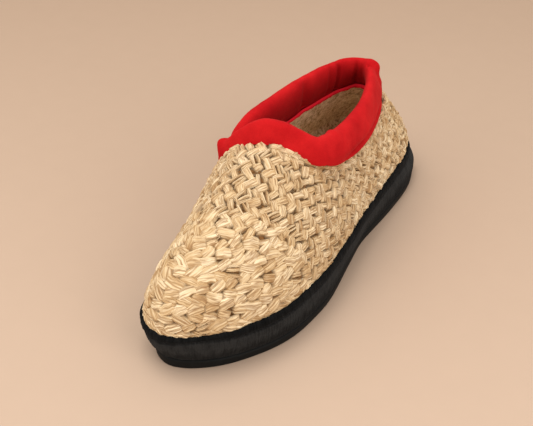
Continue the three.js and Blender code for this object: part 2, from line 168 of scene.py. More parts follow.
ROLL = table(
    "x y top half tall lean",
    (-4, -28, 113.5, 7.2, 12.5, 0),
    (9, -23.5, 110.5, 7.2, 12.5, 0),
    (19.5, -14, 104, 7.2, 12.5, 0.02),
    (25.3, 0, 98, 6.8, 12.8, 0.04),
    (25.2, 28, 95, 6.4, 13.6, 0.07),
    (21.8, 54, 94, 6, 14.4, 0.1),
    (15.2, 76, 93.5, 5.6, 15, 0.14),
    (6.6, 93, 94, 5.2, 15.5, 0.24),
    (-2, 101, 95, 5.4, 15.5, 0.34),
    (-11, 95.5, 95.6, 5.6, 16, 0.28),
    (-18.6, 80, 95.8, 5.8, 16.5, 0.22),
    (-24, 56, 96.2, 6.4, 17, 0.18),
    (-26.8, 28, 97.2, 6.8, 17, 0.16),
    (-30, -1, 95.8, 7, 15, 0.12),
    (-31, -14, 90.5, 6.8, 12.5, 0.06),
    (-30, -24, 90, 6.6, 11, 0.02),
    (-21.5, -29.5, 101.5, 7, 13, 0),
)


# Lines and surfaces of the shoe.

def smooth_curve(points, count, closed=False, power=0.25):
    """Points along a smooth curve through the given points."""
    points = np.asarray(points, float)
    if closed:
        spread = np.vstack([points[-1:], points, points[:2]])
        spans = len(points)
        at = np.arange(count) / count * spans
    else:
        spread = np.vstack([2 * points[0] - points[1], points, 2 * points[-1] - points[-2]])
        spans = len(points) - 1
        at = np.arange(count + 1) / count * spans
    span = np.minimum(at.astype(int), spans - 1)
    t = (at - span)[:, None]
    p0, p1, p2, p3 = (spread[span + k] for k in range(4))

    def knot(a, b):
        return np.maximum(np.sum((b - a) ** 2, axis=1) ** power, 1e-9)[:, None]

    d0, d1, d2 = knot(p0, p1), knot(p1, p2), knot(p2, p3)
    leave = ((p1 - p0) / d0 - (p2 - p0) / (d0 + d1) + (p2 - p1) / d1) * d1
    arrive = ((p2 - p1) / d1 - (p3 - p1) / (d1 + d2) + (p3 - p2) / d2) * d1
    return (
        p1
        + leave * t
        + (3 * (p2 - p1) - 2 * leave - arrive) * t**2
        + (2 * (p1 - p2) + leave + arrive) * t**3
    )


def side_by_side(rows, *names):
    """Columns of a table next to each other."""
    return np.column_stack([rows[name] for name in names])


def smooth_table(rows, first, count):
    """A table's columns on smooth curves through its rows."""
    dense = {}
    for name in rows:
        if name != first:
            line = smooth_curve(side_by_side(rows, first, name), count)
            dense[first] = line[:, 0]
            dense[name] = line[:, 1]
    return dense


def lookup(rows, key, value, column):
    """A column's value between the rows of a table."""
    order = np.argsort(rows[key])
    return np.interp(value, rows[key][order], rows[column][order])


def unit(vectors):
    """Vectors of length one."""
    return vectors / np.maximum(np.linalg.norm(vectors, axis=-1, keepdims=True), 1e-9)


def part_way(value, start, stop):
    """How far a value has come from a start to a stop, from 0 to 1."""
    return np.clip((value - start) / (stop - start), 0, 1)


def hump(away, reach):
    """One in the middle, fading on both sides."""
    return np.exp(-((away / reach) ** 2))


def right_of(points):
    """Directions to the right of a closed line in plan."""
    along = unit(np.roll(points, -1, axis=0)[:, :2] - np.roll(points, 1, axis=0)[:, :2])
    return np.column_stack([along[:, 1], -along[:, 0]])


def inset_line(points, distance):
    """A closed line moved inward in plan."""
    return points + right_of(points) * np.reshape(distance, (-1, 1))


def run_lengths(points):
    """Distance along a line at each of its points."""
    steps = np.linalg.norm(np.diff(points, axis=-2), axis=-1)
    return np.concatenate([np.zeros(steps.shape[:-1] + (1,)), np.cumsum(steps, axis=-1)], axis=-1)


def looped(line):
    """A closed line of points, with its first point again at its end."""
    return np.vstack([line, line[:1]])


def on_line(at, run, line):
    """Places at distances along a line of points."""
    return np.stack([np.interp(at, run, column) for column in line.T], axis=-1)


def even_ring(line, count):
    """Evenly spaced points round a closed line."""
    whole = looped(line)
    run = run_lengths(whole)
    return on_line(np.arange(count) / count * run[-1], run, whole)


def smooth_ring(points, reach):
    """A closed line of points, each the mean of its neighbours."""
    return sum(np.roll(points, k, axis=0) for k in range(-reach, reach + 1)) / (2 * reach + 1)


def side_line(column, sign):
    """One side of the platform's top edge, heel to toe."""
    return smooth_curve(np.column_stack([sign * EDGE[column], LENGTH * (0.5 - EDGE["share"])]), EDGE_POINTS)


EDGE_LINE = np.vstack([side_line("outer", 1), side_line("inner", -1)[1:-1][::-1]])
FOOT_LINE = inset_line(EDGE_LINE, FOOT_INSET)
FOOT_LINE = np.roll(FOOT_LINE, -int(np.argmax(FOOT_LINE[:, 1])), axis=0)
TOE_INDEX = int(np.argmin(FOOT_LINE[:, 1]))
TOE_TIP = FOOT_LINE[TOE_INDEX]
FOOT_OUTER = {"x": FOOT_LINE[: TOE_INDEX + 1, 0], "y": FOOT_LINE[: TOE_INDEX + 1, 1]}
FOOT_INNER = {"x": FOOT_LINE[TOE_INDEX:, 0], "y": FOOT_LINE[TOE_INDEX:, 1]}
CREST_LINE = smooth_table(CREST, "y", CREST_POINTS)
SEAM_LINE = smooth_table(SEAM, "y", SEAM_POINTS)
SOLE_RING = even_ring(EDGE_LINE, SOLE_POINTS)


def spine_x(y):
    """The upper's middle line, which swings to the toe tip."""
    return TOE_TIP[0] * part_way(y, SPINE_SWING_Y, TOE_TIP[1]) ** 2


def skin_z(x, y):
    """Height of the upper's outer skin over a place in plan."""
    middle = spine_x(y)
    on_outer = x > middle
    edge = np.where(on_outer, *(lookup(rows, "y", y, "x") for rows in (FOOT_OUTER, FOOT_INNER)))
    reach = np.where(np.abs(edge - middle) < TINY, TINY, edge - middle)
    across = np.clip(np.abs((x - middle) / reach), 0, 1)
    low = np.where(on_outer, *(lookup(CREST_LINE, "y", y, name) for name in ("low", "inner_low")))
    high = np.where(on_outer, *(lookup(CREST_LINE, "y", y, name) for name in ("high", "inner_high")))
    start = np.zeros_like(across)
    stop = np.ones_like(across)
    for _ in range(HALVINGS):
        s = (start + stop) / 2
        r = 1 - s
        outside = r**3 + 3 * r**2 * s + 3 * r * s**2 * high > across
        start = np.where(outside, s, start)
        stop = np.where(outside, stop, s)
    s = (start + stop) / 2
    r = 1 - s
    return FOOT_Z + lookup(CREST_LINE, "y", y, "height") * (3 * r**2 * s * low + 3 * r * s**2 + s**3)


def seam_z(x, y):
    """Height of the seam between straw and collar."""
    along = np.interp(x, SEAM_ACROSS["x"], SEAM_ACROSS["along"])
    drop = np.interp(x, SEAM_ACROSS["x"], SEAM_ACROSS["drop"])
    return lookup(SEAM_LINE, "y", y - along, "z") - drop


def fan_feet(centre, count, start_angle):
    """Foot points on evenly turned rays round the toe or the heel."""
    angles = np.arctan2(FOOT_LINE[:, 1] - centre[1], FOOT_LINE[:, 0] - centre[0])
    turn = (start_angle - angles + 4 * math.pi) % (2 * math.pi)
    order = np.argsort(turn)
    return on_line(np.arange(1, count + 1) / (count + 1) * math.pi, turn[order], FOOT_LINE[order])


class WallChart:
    """Columns over the upper's skin, each from the foot up to the spine or to the collar seam."""

    aside = 0.6
    above = 0.8

    def __init__(self):
        side_y = np.linspace(HEEL_CENTRE, TOE_CENTRE, SIDE_COLUMNS + 1)
        spines = np.column_stack([spine_x(side_y), side_y])
        outer = np.column_stack([lookup(FOOT_OUTER, "y", side_y, "x"), side_y])
        inner = np.column_stack([lookup(FOOT_INNER, "y", side_y, "x"), side_y])
        toe = fan_feet(spines[-1], TOE_COLUMNS, 0.0)
        heel = fan_feet(spines[0], HEEL_COLUMNS, math.pi)
        feet = np.vstack([outer, toe, inner[::-1], heel])
        sides = np.arange(SIDE_COLUMNS + 1)
        self.spine_of = np.concatenate(
            [sides, np.full(TOE_COLUMNS, SIDE_COLUMNS), sides[::-1], np.zeros(HEEL_COLUMNS, int)]
        )
        part = np.linspace(0, 1, COLUMN_POINTS) ** CROWDING
        plan = feet[:, None, :] + (spines[self.spine_of] - feet)[:, None, :] * part[None, :, None]
        height = skin_z(plan[..., 0], plan[..., 1])
        height[:, 0] = FOOT_Z
        self.path = np.concatenate([plan, height[..., None]], axis=2)
        self.run = run_lengths(self.path)
        self.count = len(feet)
        self.length = self.run[:, -1].copy()
        self.full = np.ones(self.count, bool)
        over = height - seam_z(plan[..., 0], plan[..., 1])
        for c in np.nonzero(np.any(over > 0, axis=1))[0]:
            k = int(np.argmax(over[c] > 0))
            share = over[c, k - 1] / (over[c, k - 1] - over[c, k])
            self.length[c] = self.run[c, k - 1] + share * (self.run[c, k] - self.run[c, k - 1])
            self.full[c] = False

    def points(self, columns, heights):
        """Places on the skin at whole columns, at distances up from the foot."""
        return np.array([on_line(h, self.run[c], self.path[c]) for c, h in zip(columns, heights)])

    def place(self, column, height):
        """A place on the skin at any column."""
        low = int(math.floor(column))
        part = column - low
        pair = self.points([low % self.count, (low + 1) % self.count], [height, height])
        return pair[0] * (1 - part) + pair[1] * part

    def frame(self, column, height):
        """Place, direction round the shoe and outward normal."""
        around = unit(self.place(column + self.aside, height) - self.place(column - self.aside, height))
        upward = unit(self.place(column, height + self.above) - self.place(column, height - self.above))
        return self.place(column, height), around, unit(np.cross(upward, around))

    def surface(self, rows):
        """The open skin as points and faces, joined along the spine."""
        levels = [self.points(np.arange(self.count), self.length * s) for s in np.linspace(0, 1, rows + 1)]
        points = list(np.stack(levels[:-1], axis=1).reshape(-1, 3))
        tops = {}
        top_of = []
        for c in range(self.count):
            key = ("spine", self.spine_of[c]) if self.full[c] else ("rim", c)
            if key not in tops:
                tops[key] = len(points)
                points.append(levels[-1][c])
            top_of.append(tops[key])
        self.top_of = top_of
        faces = []
        for c in range(self.count):
            n = (c + 1) % self.count
            for j in range(rows):
                low = (c * rows + j, n * rows + j)
                high = (c * rows + j + 1, n * rows + j + 1) if j + 1 < rows else (top_of[c], top_of[n])
                face = [low[1], low[0], high[0], high[1]]
                face = [v for k, v in enumerate(face) if v not in face[:k]]
                if len(face) > 2:
                    faces.append(face)
        return np.array(points), faces


class VampChart:
    """The skin of the instep and sides, by place along the shoe and signed distance across from the spine."""

    first_y = -104.0
    last_y = 124.0
    reach = 125

    def __init__(self):
        ys = np.arange(self.first_y, self.last_y + 1)
        spread = 1 - (1 - np.linspace(0, 1, SHEET_POINTS)) ** CROWDING
        want = np.arange(self.reach + 1)
        sheets = []
        self.ends = []
        for rows in (FOOT_INNER, FOOT_OUTER):
            middle = spine_x(ys)[:, None]
            edge = lookup(rows, "y", ys, "x")[:, None]
            x = middle + (edge - middle) * spread[None, :]
            y = np.broadcast_to(ys[:, None], x.shape)
            line = np.stack([x, y, skin_z(x, y)], axis=2)
            run = run_lengths(line)
            self.ends.append(run[:, -1])
            sheets.append(np.stack([on_line(want, run[i], line[i]) for i in range(len(ys))]))
        self.sheet = np.concatenate([sheets[0][:, :0:-1], sheets[1]], axis=1)

    def place(self, y, across):
        """A place on the skin."""
        row = np.clip(y - self.first_y, 0, len(self.sheet) - 1.001)
        column = np.clip(across + self.reach, 0, self.sheet.shape[1] - 1.001)
        i, j = int(row), int(column)
        a, b = row - i, column - j
        low = self.sheet[i, j] * (1 - b) + self.sheet[i, j + 1] * b
        high = self.sheet[i + 1, j] * (1 - b) + self.sheet[i + 1, j + 1] * b
        return low * (1 - a) + high * a

    def room(self, y, across):
        """Distance left down to the foot."""
        ends = self.ends[1] if across > 0 else self.ends[0]
        return np.interp(y, np.arange(self.first_y, self.last_y + 1), ends) - abs(across)

    def frame(self, y, across):
        """Place, direction toward the heel and outward normal."""
        heelward = unit(self.place(y + 1, across) - self.place(y - 1, across))
        outward = unit(self.place(y, across + 1) - self.place(y, across - 1))
        return self.place(y, across), heelward, unit(np.cross(outward, heelward))


WALL_CHART = WallChart()
VAMP_CHART = VampChart()


def wall_ring(rise, extra_inset, height):
    """A level line round the sole, tucked in toward the floor."""
    place = 0.5 - SOLE_RING[:, 1] / LENGTH
    outer = np.interp(place, TUCK["share"], TUCK["outer"])
    inner = np.interp(place, TUCK["share"], TUCK["inner"])
    tuck = inner + (outer - inner) * part_way(SOLE_RING[:, 0], -SIDE_BLEND, SIDE_BLEND)
    share = np.where(tuck > 0, *(np.interp(rise, WALL["rise"], WALL[name]) for name in ("tuck", "flare")))
    past = np.maximum(0, (place - SPRING_START) / (1 - SPRING_START))
    ring = inset_line(SOLE_RING, tuck * share + extra_inset)
    return np.column_stack([ring, height + TOE_SPRING * past**2 * (1 - rise)])


def soft_noise(points, scale, seed):
    """Smooth noise from -1 to 1 at places in millimetres."""
    shift = Vector((seed * 17.3, seed * 5.1, seed * 9.7))
    return np.array([noise.noise(Vector(p) / scale + shift) for p in np.asarray(points, float)])


def vertex_normals(points, faces):
    """Outward directions at the points of an open skin."""
    normals = np.zeros_like(points)
    for face in faces:
        corner = points[face]
        direction = np.cross(corner[1] - corner[0], corner[2] - corner[0])
        for vertex in face:
            normals[vertex] += direction
    return unit(normals)


# Meshes.

def linked(name, data):
    """A new object in the scene."""
    item = bpy.data.objects.new(name, data)
    bpy.context.scene.collection.objects.link(item)
    return item


def new_mesh_object(name, points, faces, material, uvs=None):
    """A smooth mesh object from places in millimetres in the shoe's own lines."""
    mesh = bpy.data.meshes.new(name)
    mesh.from_pydata(((np.asarray(points) + SHIFT) * MM).tolist(), [], [list(map(int, f)) for f in faces])
    if uvs is not None:
        layer = mesh.uv_layers.new(name="run")
        corners = np.array([loop.vertex_index for loop in mesh.loops])
        layer.data.foreach_set("uv", np.asarray(uvs, float)[corners].ravel())
    mesh.validate()
    mesh.shade_smooth()
    mesh.materials.append(material)
    return linked(name, mesh)


def ring_faces(rings, count, closed_rings=False):
    """Quads between neighbouring closed rings."""
    faces = []
    for k in range(rings if closed_rings else rings - 1):
        first, second = k * count, (k + 1) % rings * count
        for i in range(count):
            n = (i + 1) % count
            faces.append([first + i, second + i, second + n, first + n])
    return faces


def outward(piece):
    """Turns every face of a closed mesh outward."""
    edit = bmesh.new()
    edit.from_mesh(piece.data)
    bmesh.ops.recalc_face_normals(edit, faces=edit.faces)
    if edit.calc_volume(signed=True) < 0:
        bmesh.ops.reverse_faces(edit, faces=edit.faces)
    edit.to_mesh(piece.data)
    edit.free()


def welded(piece):
    """Joins points of a mesh that lie in one place."""
    edit = bmesh.new()
    edit.from_mesh(piece.data)
    bmesh.ops.remove_doubles(edit, verts=edit.verts, dist=WELD * MM)
    edit.to_mesh(piece.data)
    edit.free()


def baked(piece):
    """Replaces a piece's mesh by what its modifiers make of it, and drops the modifiers."""
    graph = bpy.context.evaluated_depsgraph_get()
    graph.update()
    mesh = bpy.data.meshes.new_from_object(piece.evaluated_get(graph), depsgraph=graph)
    mesh.name = piece.name
    piece.modifiers.clear()
    piece.data = mesh


def solidified(piece, thickness):
    """Gives an open sheet its thickness, inward."""
    modifier = piece.modifiers.new("thickness", "SOLIDIFY")
    modifier.thickness = thickness * MM
    modifier.offset = -1
    baked(piece)


def settle(piece, slot, *nodes):
    """Rides a finished piece on the shoe and hides the solids it stands for. The slot, its finish's name, is
    not used.
    """
    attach(piece, "root")
    if nodes:
        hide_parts(*nodes)


# Materials.

THREAD_DARK = (0.004, 0.004, 0.005)
THREAD_PALE = (0.016, 0.016, 0.018)


class Paint:
    """A material under construction, with short ways to add and join its nodes."""

    def __init__(self, name):
        self.material = bpy.data.materials.new(name)
        self.material.use_nodes = True
        self.nodes = self.material.node_tree.nodes
        self.links = self.material.node_tree.links
        self.shader = self.nodes["Principled BSDF"]

    def add(self, kind, **values):
        node = self.nodes.new(kind)
        for key, value in values.items():
            setattr(node, key, value)
        return node

    def feed(self, socket, value):
        """Joins an output to a socket, or sets a plain value on it."""
        if hasattr(value, "is_output"):
            self.links.new(value, socket)
        else:
            socket.default_value = value

    def fill(self, node, **values):
        """Feeds a node's inputs by name."""
        for key, value in values.items():
            self.feed(node.inputs[key.replace("_", " ")], value)
        return node

    def set(self, **values):
        self.fill(self.shader, **values)

    def coordinates(self, scale=(1, 1, 1), turn=(0, 0, 0)):
        source = self.add("ShaderNodeTexCoord")
        mapping = self.fill(self.add("ShaderNodeMapping"), Scale=scale, Rotation=turn)
        return self.fill(mapping, Vector=source.outputs["Object"]).outputs["Vector"]

    def attribute(self, name, output="Fac"):
        return self.add("ShaderNodeAttribute", attribute_type="GEOMETRY", attribute_name=name).outputs[output]

    def split(self, vector):
        node = self.fill(self.add("ShaderNodeSeparateXYZ"), Vector=vector)
        return node.outputs["X"], node.outputs["Y"]

    def gather(self, **values):
        return self.fill(self.add("ShaderNodeCombineXYZ"), **values).outputs["Vector"]

    def noise(self, vector, scale, detail=2.0, roughness=0.5):
        node = self.add("ShaderNodeTexNoise")
        return self.fill(node, Vector=vector, Scale=scale, Detail=detail, Roughness=roughness).outputs["Fac"]

    def grain(self, scale, detail=2.0, roughness=0.5):
        """Noise by place in the piece."""
        return self.noise(self.coordinates(), scale, detail, roughness)

    def math(self, operation, first, second=0.0):
        node = self.add("ShaderNodeMath", operation=operation)
        self.feed(node.inputs[0], first)
        self.feed(node.inputs[1], second)
        return node.outputs[0]

    def total(self, first, *others):
        """A sum that is held between 0 and 1 at its end."""
        for value in others:
            first = self.math("ADD", first, value)
        first.node.use_clamp = True
        return first

    def spread(self, value, low, high, to_low=0.0, to_high=1.0):
        node = self.add("ShaderNodeMapRange")
        self.fill(node, From_Min=low, From_Max=high, To_Min=to_low, To_Max=to_high, Value=value)
        return node.outputs["Result"]

    def ramp(self, value, *stops):
        node = self.fill(self.add("ShaderNodeValToRGB"), Fac=value)
        points = node.color_ramp.elements
        while len(points) < len(stops):
            points.new(0.5)
        for point, (place, colour) in zip(points, stops):
            point.position = place
            point.color = (*colour, 1)
        return node.outputs["Color"]

    def mix(self, share, first, second, blend="MIX"):
        node = self.add("ShaderNodeMix", data_type="RGBA", blend_type=blend)
        pair = (value if hasattr(value, "is_output") else (*value, 1) for value in (first, second))
        return self.fill(node, Factor=share, **dict(zip("AB", pair))).outputs["Result"]

    def bump(self, height, strength, distance, under=None):
        node = self.fill(self.add("ShaderNodeBump"), Strength=strength, Distance=distance, Height=height)
        if under is not None:
            self.fill(node, Normal=under)
        return node.outputs["Normal"]

    def colour(self, value):
        self.set(Base_Color=value)

    def normal(self, value):
        self.set(Normal=value)


def colours():
    """The colours that a user may change."""
    return bpy.context.scene.straw_shoe_colours


def sizes():
    """The sizes that a user may change."""
    return bpy.context.scene.straw_shoe_sizes


def straw_material():
    """Dried leaf strips: pale ribbons with fibre lines; folds, edges and ends are browner, partly in their
    own colour and partly as painted shade, and the strands deep in the pits are painted dark as their shade.
    """
    paint = Paint("straw")
    tones = colours()
    across, along = paint.split(paint.attribute("run", "Vector"))
    tint, crest, edge, shade = (paint.attribute(name) for name in ("tint", "crest", "edge", "shade"))
    fibre_place = paint.gather(
        X=paint.math("MULTIPLY", across, 8.0),
        Y=paint.math("MULTIPLY", along, 1.1),
        Z=paint.math("MULTIPLY", tint, 61.0),
    )
    fibres = paint.noise(fibre_place, 1.0, 3.0, 0.6)
    tone = paint.total(
        paint.spread(fibres, 0.3, 0.7, 0.34, 0.96),
        paint.spread(tint, 0, 1, -0.1, 0.16),
        paint.spread(tint, 0, 0.14, -0.14, 0),
        paint.spread(paint.grain(90.0), 0.3, 0.7, -0.14, 0.14),
    )
    body = paint.ramp(
        tone,
        (0.0, tones.straw_fold_and_shade),
        (0.3, tones.straw_tan),
        (0.62, tones.straw_body),
        (1.0, tones.straw_cream),
    )
    streaks = paint.noise(fibre_place, 0.55, 1.0)
    line = paint.math("ABSOLUTE", paint.math("SUBTRACT", streaks, 0.5))
    lined = paint.mix(paint.spread(line, 0.0, 0.075, 0.75, 0.0), body, tones.straw_line)
    # Painted shade in the creases, on top of their own browner colour: darker toward the fold tone where the
    # crest sinks.
    creased = paint.mix(paint.spread(crest, 0.0, 0.45, 0.7, 0.0), lined, tones.straw_fold_and_shade)
    # Painted shade: strands laid deep in the pits go dark toward the pit colour.
    pit_shaded = paint.mix(paint.math("MULTIPLY", shade, 0.8), creased, tones.straw_pit_shade)
    # Edges and ends go toward the pit colour: partly the strips' own brown edges, partly painted shade where
    # they dip under their neighbours.
    paint.colour(paint.mix(paint.spread(edge, 0.2, 0.9, 0.0, 0.75), pit_shaded, tones.straw_pit_shade))
    paint.set(Roughness=0.6, Specular_IOR_Level=0.35)
    paint.normal(paint.bump(fibres, 0.55, 0.0005, paint.bump(streaks, 0.7, 0.0012)))
    return paint.material


def straw_shadow_material():
    """The wall under the strips, seen only in the pits between them, painted dark as their shade."""
    paint = Paint("straw_shadow")
    tones = colours()
    grain = paint.grain(400.0, 3.0)
    paint.colour(paint.mix(paint.spread(grain, 0.3, 0.7), tones.straw_pit_shade, tones.straw_fold_and_shade))
    paint.set(Roughness=0.9, Specular_IOR_Level=0.1)
    paint.normal(paint.bump(grain, 0.5, 0.0008))
    return paint.material


def velvet_material():
    """Short red pile with a mottled nap and a soft bright rim, painted shade on the roll's inner side and a
    painted highlight on the turned hem.
    """
    paint = Paint("collar_velvet")
    tones = colours()
    nap = paint.grain(55.0, 3.0, 0.6)
    pile = paint.grain(1500.0)
    mottle = paint.total(paint.spread(nap, 0.3, 0.7, 0, 0.75), paint.spread(pile, 0.3, 0.7, 0, 0.25))
    lit = paint.mix(mottle, tones.velvet_deep, tones.velvet)
    inside = paint.attribute("inside")
    # Painted shade on the roll's inner side, inside the opening.
    deep = paint.mix(paint.spread(inside, 0, 1, 0, 0.72), lit, tones.velvet_inside_shade)
    # Painted highlight on the turned hem, which the collar piece marks with -1.
    paint.colour(paint.mix(paint.spread(inside, -1, 0, 0.8, 0), deep, tones.velvet_hem_highlight))
    paint.set(Roughness=0.9, Specular_IOR_Level=0.08, Sheen_Weight=0.12, Sheen_Roughness=0.4)
    paint.set(Sheen_Tint=(1.0, 0.12, 0.1, 1))
    paint.normal(paint.bump(pile, 0.3, 0.0004, paint.bump(nap, 0.25, 0.0012)))
    return paint.material


def felt_material():
    """Matted brown felt."""
    paint = Paint("felt")
    tones = colours()
    clumps = paint.grain(150.0, 4.0, 0.7)
    hairs = paint.grain(520.0, 3.0, 0.6)
    shade = paint.total(paint.spread(clumps, 0.36, 0.64, 0, 0.5), paint.spread(hairs, 0.38, 0.62, 0, 0.5))
    paint.colour(paint.ramp(shade, (0.0, tones.felt_dark), (0.5, tones.felt), (1.0, tones.felt_pale)))
    paint.set(Roughness=1.0, Specular_IOR_Level=0.05)
    paint.normal(paint.bump(hairs, 0.6, 0.0008, paint.bump(clumps, 0.6, 0.0015)))
    return paint.material


def cloth_material(name, deep, dust_and_highlight, ribs):
    """Napped black cloth with fine upright ribs, dusty on its high spots, and lighter high on the platform's
    wall as a painted highlight.
    """
    paint = Paint(name)
    run, level = paint.split(paint.attribute("run", "Vector"))
    rib = paint.noise(paint.gather(X=run, Y=paint.math("MULTIPLY", level, 0.12)), ribs, 2.0, 0.6)
    dust = paint.grain(120.0, 4.0, 0.65)
    nap = paint.grain(1400.0)
    # Painted highlight: a lighter stripe high on the platform's wall, fading out just below the seam.
    below_seam_band = paint.spread(level, 0.0222, 0.0242, 1, 0)
    highlight_band = paint.math("MULTIPLY", paint.spread(level, 0.011, 0.017), below_seam_band)
    shade = paint.total(
        paint.spread(rib, 0.3, 0.7, 0, 0.36),
        paint.spread(dust, 0.35, 0.7, 0, 0.3),
        paint.spread(nap, 0.3, 0.7, 0, 0.25),
        paint.math("MULTIPLY", highlight_band, 0.45),
    )
    paint.colour(paint.mix(paint.math("POWER", shade, 1.7), deep, dust_and_highlight))
    paint.set(Roughness=0.95, Specular_IOR_Level=0.06, Sheen_Weight=0.02, Sheen_Roughness=0.5)
    paint.normal(paint.bump(nap, 0.35, 0.0004, paint.bump(rib, 0.7, 0.0012)))
    return paint.material


def rubber_material():
    """Plain black outsole rubber with faint scuffs."""
    paint = Paint("outsole_rubber")
    tones = colours()
    scuff = paint.noise(paint.coordinates((1, 1, 4)), 180.0, 4.0, 0.6)
    paint.colour(paint.mix(paint.spread(scuff, 0.5, 0.8), tones.rubber, tones.rubber_scuff))
    paint.set(Roughness=paint.spread(scuff, 0.3, 0.8, 0.5, 0.75), Specular_IOR_Level=0.12)
    paint.normal(paint.bump(paint.grain(1600.0), 0.25, 0.0003))
    return paint.material


def thread_material():
    """Dark sewing thread."""
    paint = Paint("thread")
    twist = paint.grain(2500.0, 1.0)
    paint.colour(paint.mix(twist, THREAD_DARK, THREAD_PALE))
    paint.set(Roughness=0.85, Specular_IOR_Level=0.1)
    paint.normal(paint.bump(twist, 0.4, 0.0002))
    return paint.material


def floor_material():
    """Plain pale floor, a little darker further from the camera: painted shade where the lights fall off
    toward the back.
    """
    paint = Paint("floor")
    depth = paint.split(paint.coordinates(turn=(0, 0, -math.radians(CAMERA_TURN))))[1]
    plain = paint.mix(paint.spread(depth, -0.3, 0.45), colours().floor, colours().floor_back_shade)
    paint.colour(paint.mix(paint.grain(60.0, 3.0), plain, (0.97, 0.97, 0.97), "MULTIPLY"))
    paint.set(Roughness=0.9, Specular_IOR_Level=0.1)
    return paint.material


# Straw strips.

STRIP_ALONG = 6
STRIP_SINK = 0.45
CRUMPLE = 0.07
NARROW = 4

# Columns: faces across, width left at the ends, depth of creases, sideways bend, twist, sag of ends, seed.
STRIP_SHAPES = table(
    "across blunt crease bend twist sag seed",
    (6, 0.86, 0.14, 0.03, 0.10, 0.14, 11),
    (6, 0.78, 0.20, -0.05, -0.12, 0.14, 12),
    (6, 0.90, 0.12, 0.02, 0.18, 0.14, 13),
    (6, 0.80, 0.22, -0.06, 0.05, 0.14, 14),
    (6, 0.74, 0.16, 0.05, -0.20, 0.14, 15),
    (6, 0.88, 0.18, 0.00, 0.14, 0.14, 16),
    (4, 0.74, 0.10, 0.10, 0.10, 0.14, 31),
    (4, 0.66, 0.14, -0.12, -0.14, 0.14, 32),
    (4, 0.80, 0.10, 0.16, 0.20, 0.14, 33),
    (4, 0.62, 0.16, -0.06, -0.08, 0.14, 34),
    (4, 0.70, 0.12, 0.05, 0.16, 0.14, 35),
    (4, 0.76, 0.10, -0.16, -0.12, 0.14, 36),
    (6, 0.50, 0.12, 0.10, 0.16, 0.22, 21),
    (6, 0.62, 0.18, -0.08, -0.20, 0.22, 22),
    (6, 0.44, 0.10, 0.06, 0.24, 0.22, 23),
    (6, 0.56, 0.16, -0.12, -0.10, 0.22, 24),
    (6, 0.66, 0.14, 0.05, 0.16, 0.22, 25),
    (6, 0.48, 0.20, -0.06, -0.22, 0.22, 26),
)
RIBBONS = (0, 1, 2, 3, 4, 5)
STRANDS = (6, 7, 8, 9, 10, 11)
LEAVES = (12, 13, 14, 15, 16, 17)
CREASE_PLACES = ((2,), (3,), (4,), (2, 4))


def strip_object(index):
    """One closed crumpled ribbon of straw, a unit long, wide and high, with creases and dipping ends."""
    shape = {name: values[index] for name, values in STRIP_SHAPES.items()}
    across = int(shape["across"])
    wide = across + 1
    chance = np.random.default_rng(int(shape["seed"]))
    if across > NARROW:
        creases = list(CREASE_PLACES[int(chance.integers(len(CREASE_PLACES)))])
    else:
        creases = [int(chance.integers(1, NARROW))]
    heights = (1 - np.abs(np.linspace(-1, 1, wide)) ** 6) ** 0.75 + chance.uniform(-0.05, 0.05, wide)
    heights[[0, -1]] = 0.0
    folds = np.zeros(wide)
    folds[creases] = chance.uniform(0.7, 1.1, len(creases))
    from_start = chance.random() < 0.5
    points, uvs, crests, edges = [], [], [], []
    for i in range(STRIP_ALONG + 1):
        u = i / STRIP_ALONG
        end = 2 * u - 1
        arch = (1 - abs(end) ** 4) ** 0.6
        taper = shape["blunt"] + (1 - shape["blunt"]) * math.sin(math.pi * u) ** 0.7
        taper *= chance.uniform(0.88, 1.1)
        drift = shape["bend"] * (1 - end * end) + chance.uniform(-0.03, 0.03)
        deep = folds * np.clip(0.15 + 1.5 * (u if from_start else 1 - u), 0, 1)
        for j in range(wide):
            v = 2 * j / across - 1
            rise = arch * (heights[j] - shape["crease"] * deep[j]) * (1 + shape["twist"] * v * end)
            if 0 < j < across:
                rise += chance.uniform(-1, 1) * CRUMPLE
            points.append((u - 0.5, 0.5 * v * taper + drift, rise - STRIP_SINK - shape["sag"] * end * end))
            uvs.append((0.5 + 0.5 * v, u))
            # crest sinks at the creases and edge rises at the edges and ends; the straw finish darkens both,
            # partly as their own brown and partly as painted shade.
            crests.append(1 - min(1.0, float(deep[j])))
            edges.append(max(0.75 * abs(v) ** 8, abs(end) ** 9))
    faces = []
    for i in range(STRIP_ALONG):
        for j in range(across):
            a = i * wide + j
            faces.append([a, a + wide, a + wide + 1, a + 1])
    for i in range(STRIP_ALONG):
        a, b = i * wide, (i + 1) * wide
        near = [a + j for j in range(wide)] if i == 0 else [a, a + across]
        far = [b + j for j in range(wide)] if i == STRIP_ALONG - 1 else [b, b + across]
        faces.append(near + far[::-1])
    mesh = bpy.data.meshes.new(f"strip_{index:02d}")
    mesh.from_pydata(points, [], faces)
    layer = mesh.uv_layers.new(name="run")
    for loop in mesh.loops:
        layer.data[loop.index].uv = uvs[loop.vertex_index]
    for name, values in (("crest", crests), ("edge", edges)):
        mesh.attributes.new(name, "FLOAT", "POINT").data.foreach_set("value", values)
    return bpy.data.objects.new(mesh.name, mesh)


# Chance changes of a strip: turn in radians, tilt, size, and places along and aside in millimetres.
TURN_CHANCE = math.radians(8)
TILT_CHANCE = 0.1
SIZE_CHANCE = 0.1
ALONG_CHANCE = 0.5
ASIDE_CHANCE = 0.45
# Split floats: shares of two and of three strands, how much wider the strands are, their lift and their fan.
PAIR_SHARE = 0.55
TRIPLE_SHARE = 0.45
STRAND_OVERLAP = 1.2
STRAND_LIFT = (-0.15, 0.2)
STRAND_FAN = 0.02
PIT_DEPTH = 1.3
PIT_STRIP = (6, 3, 1.4)


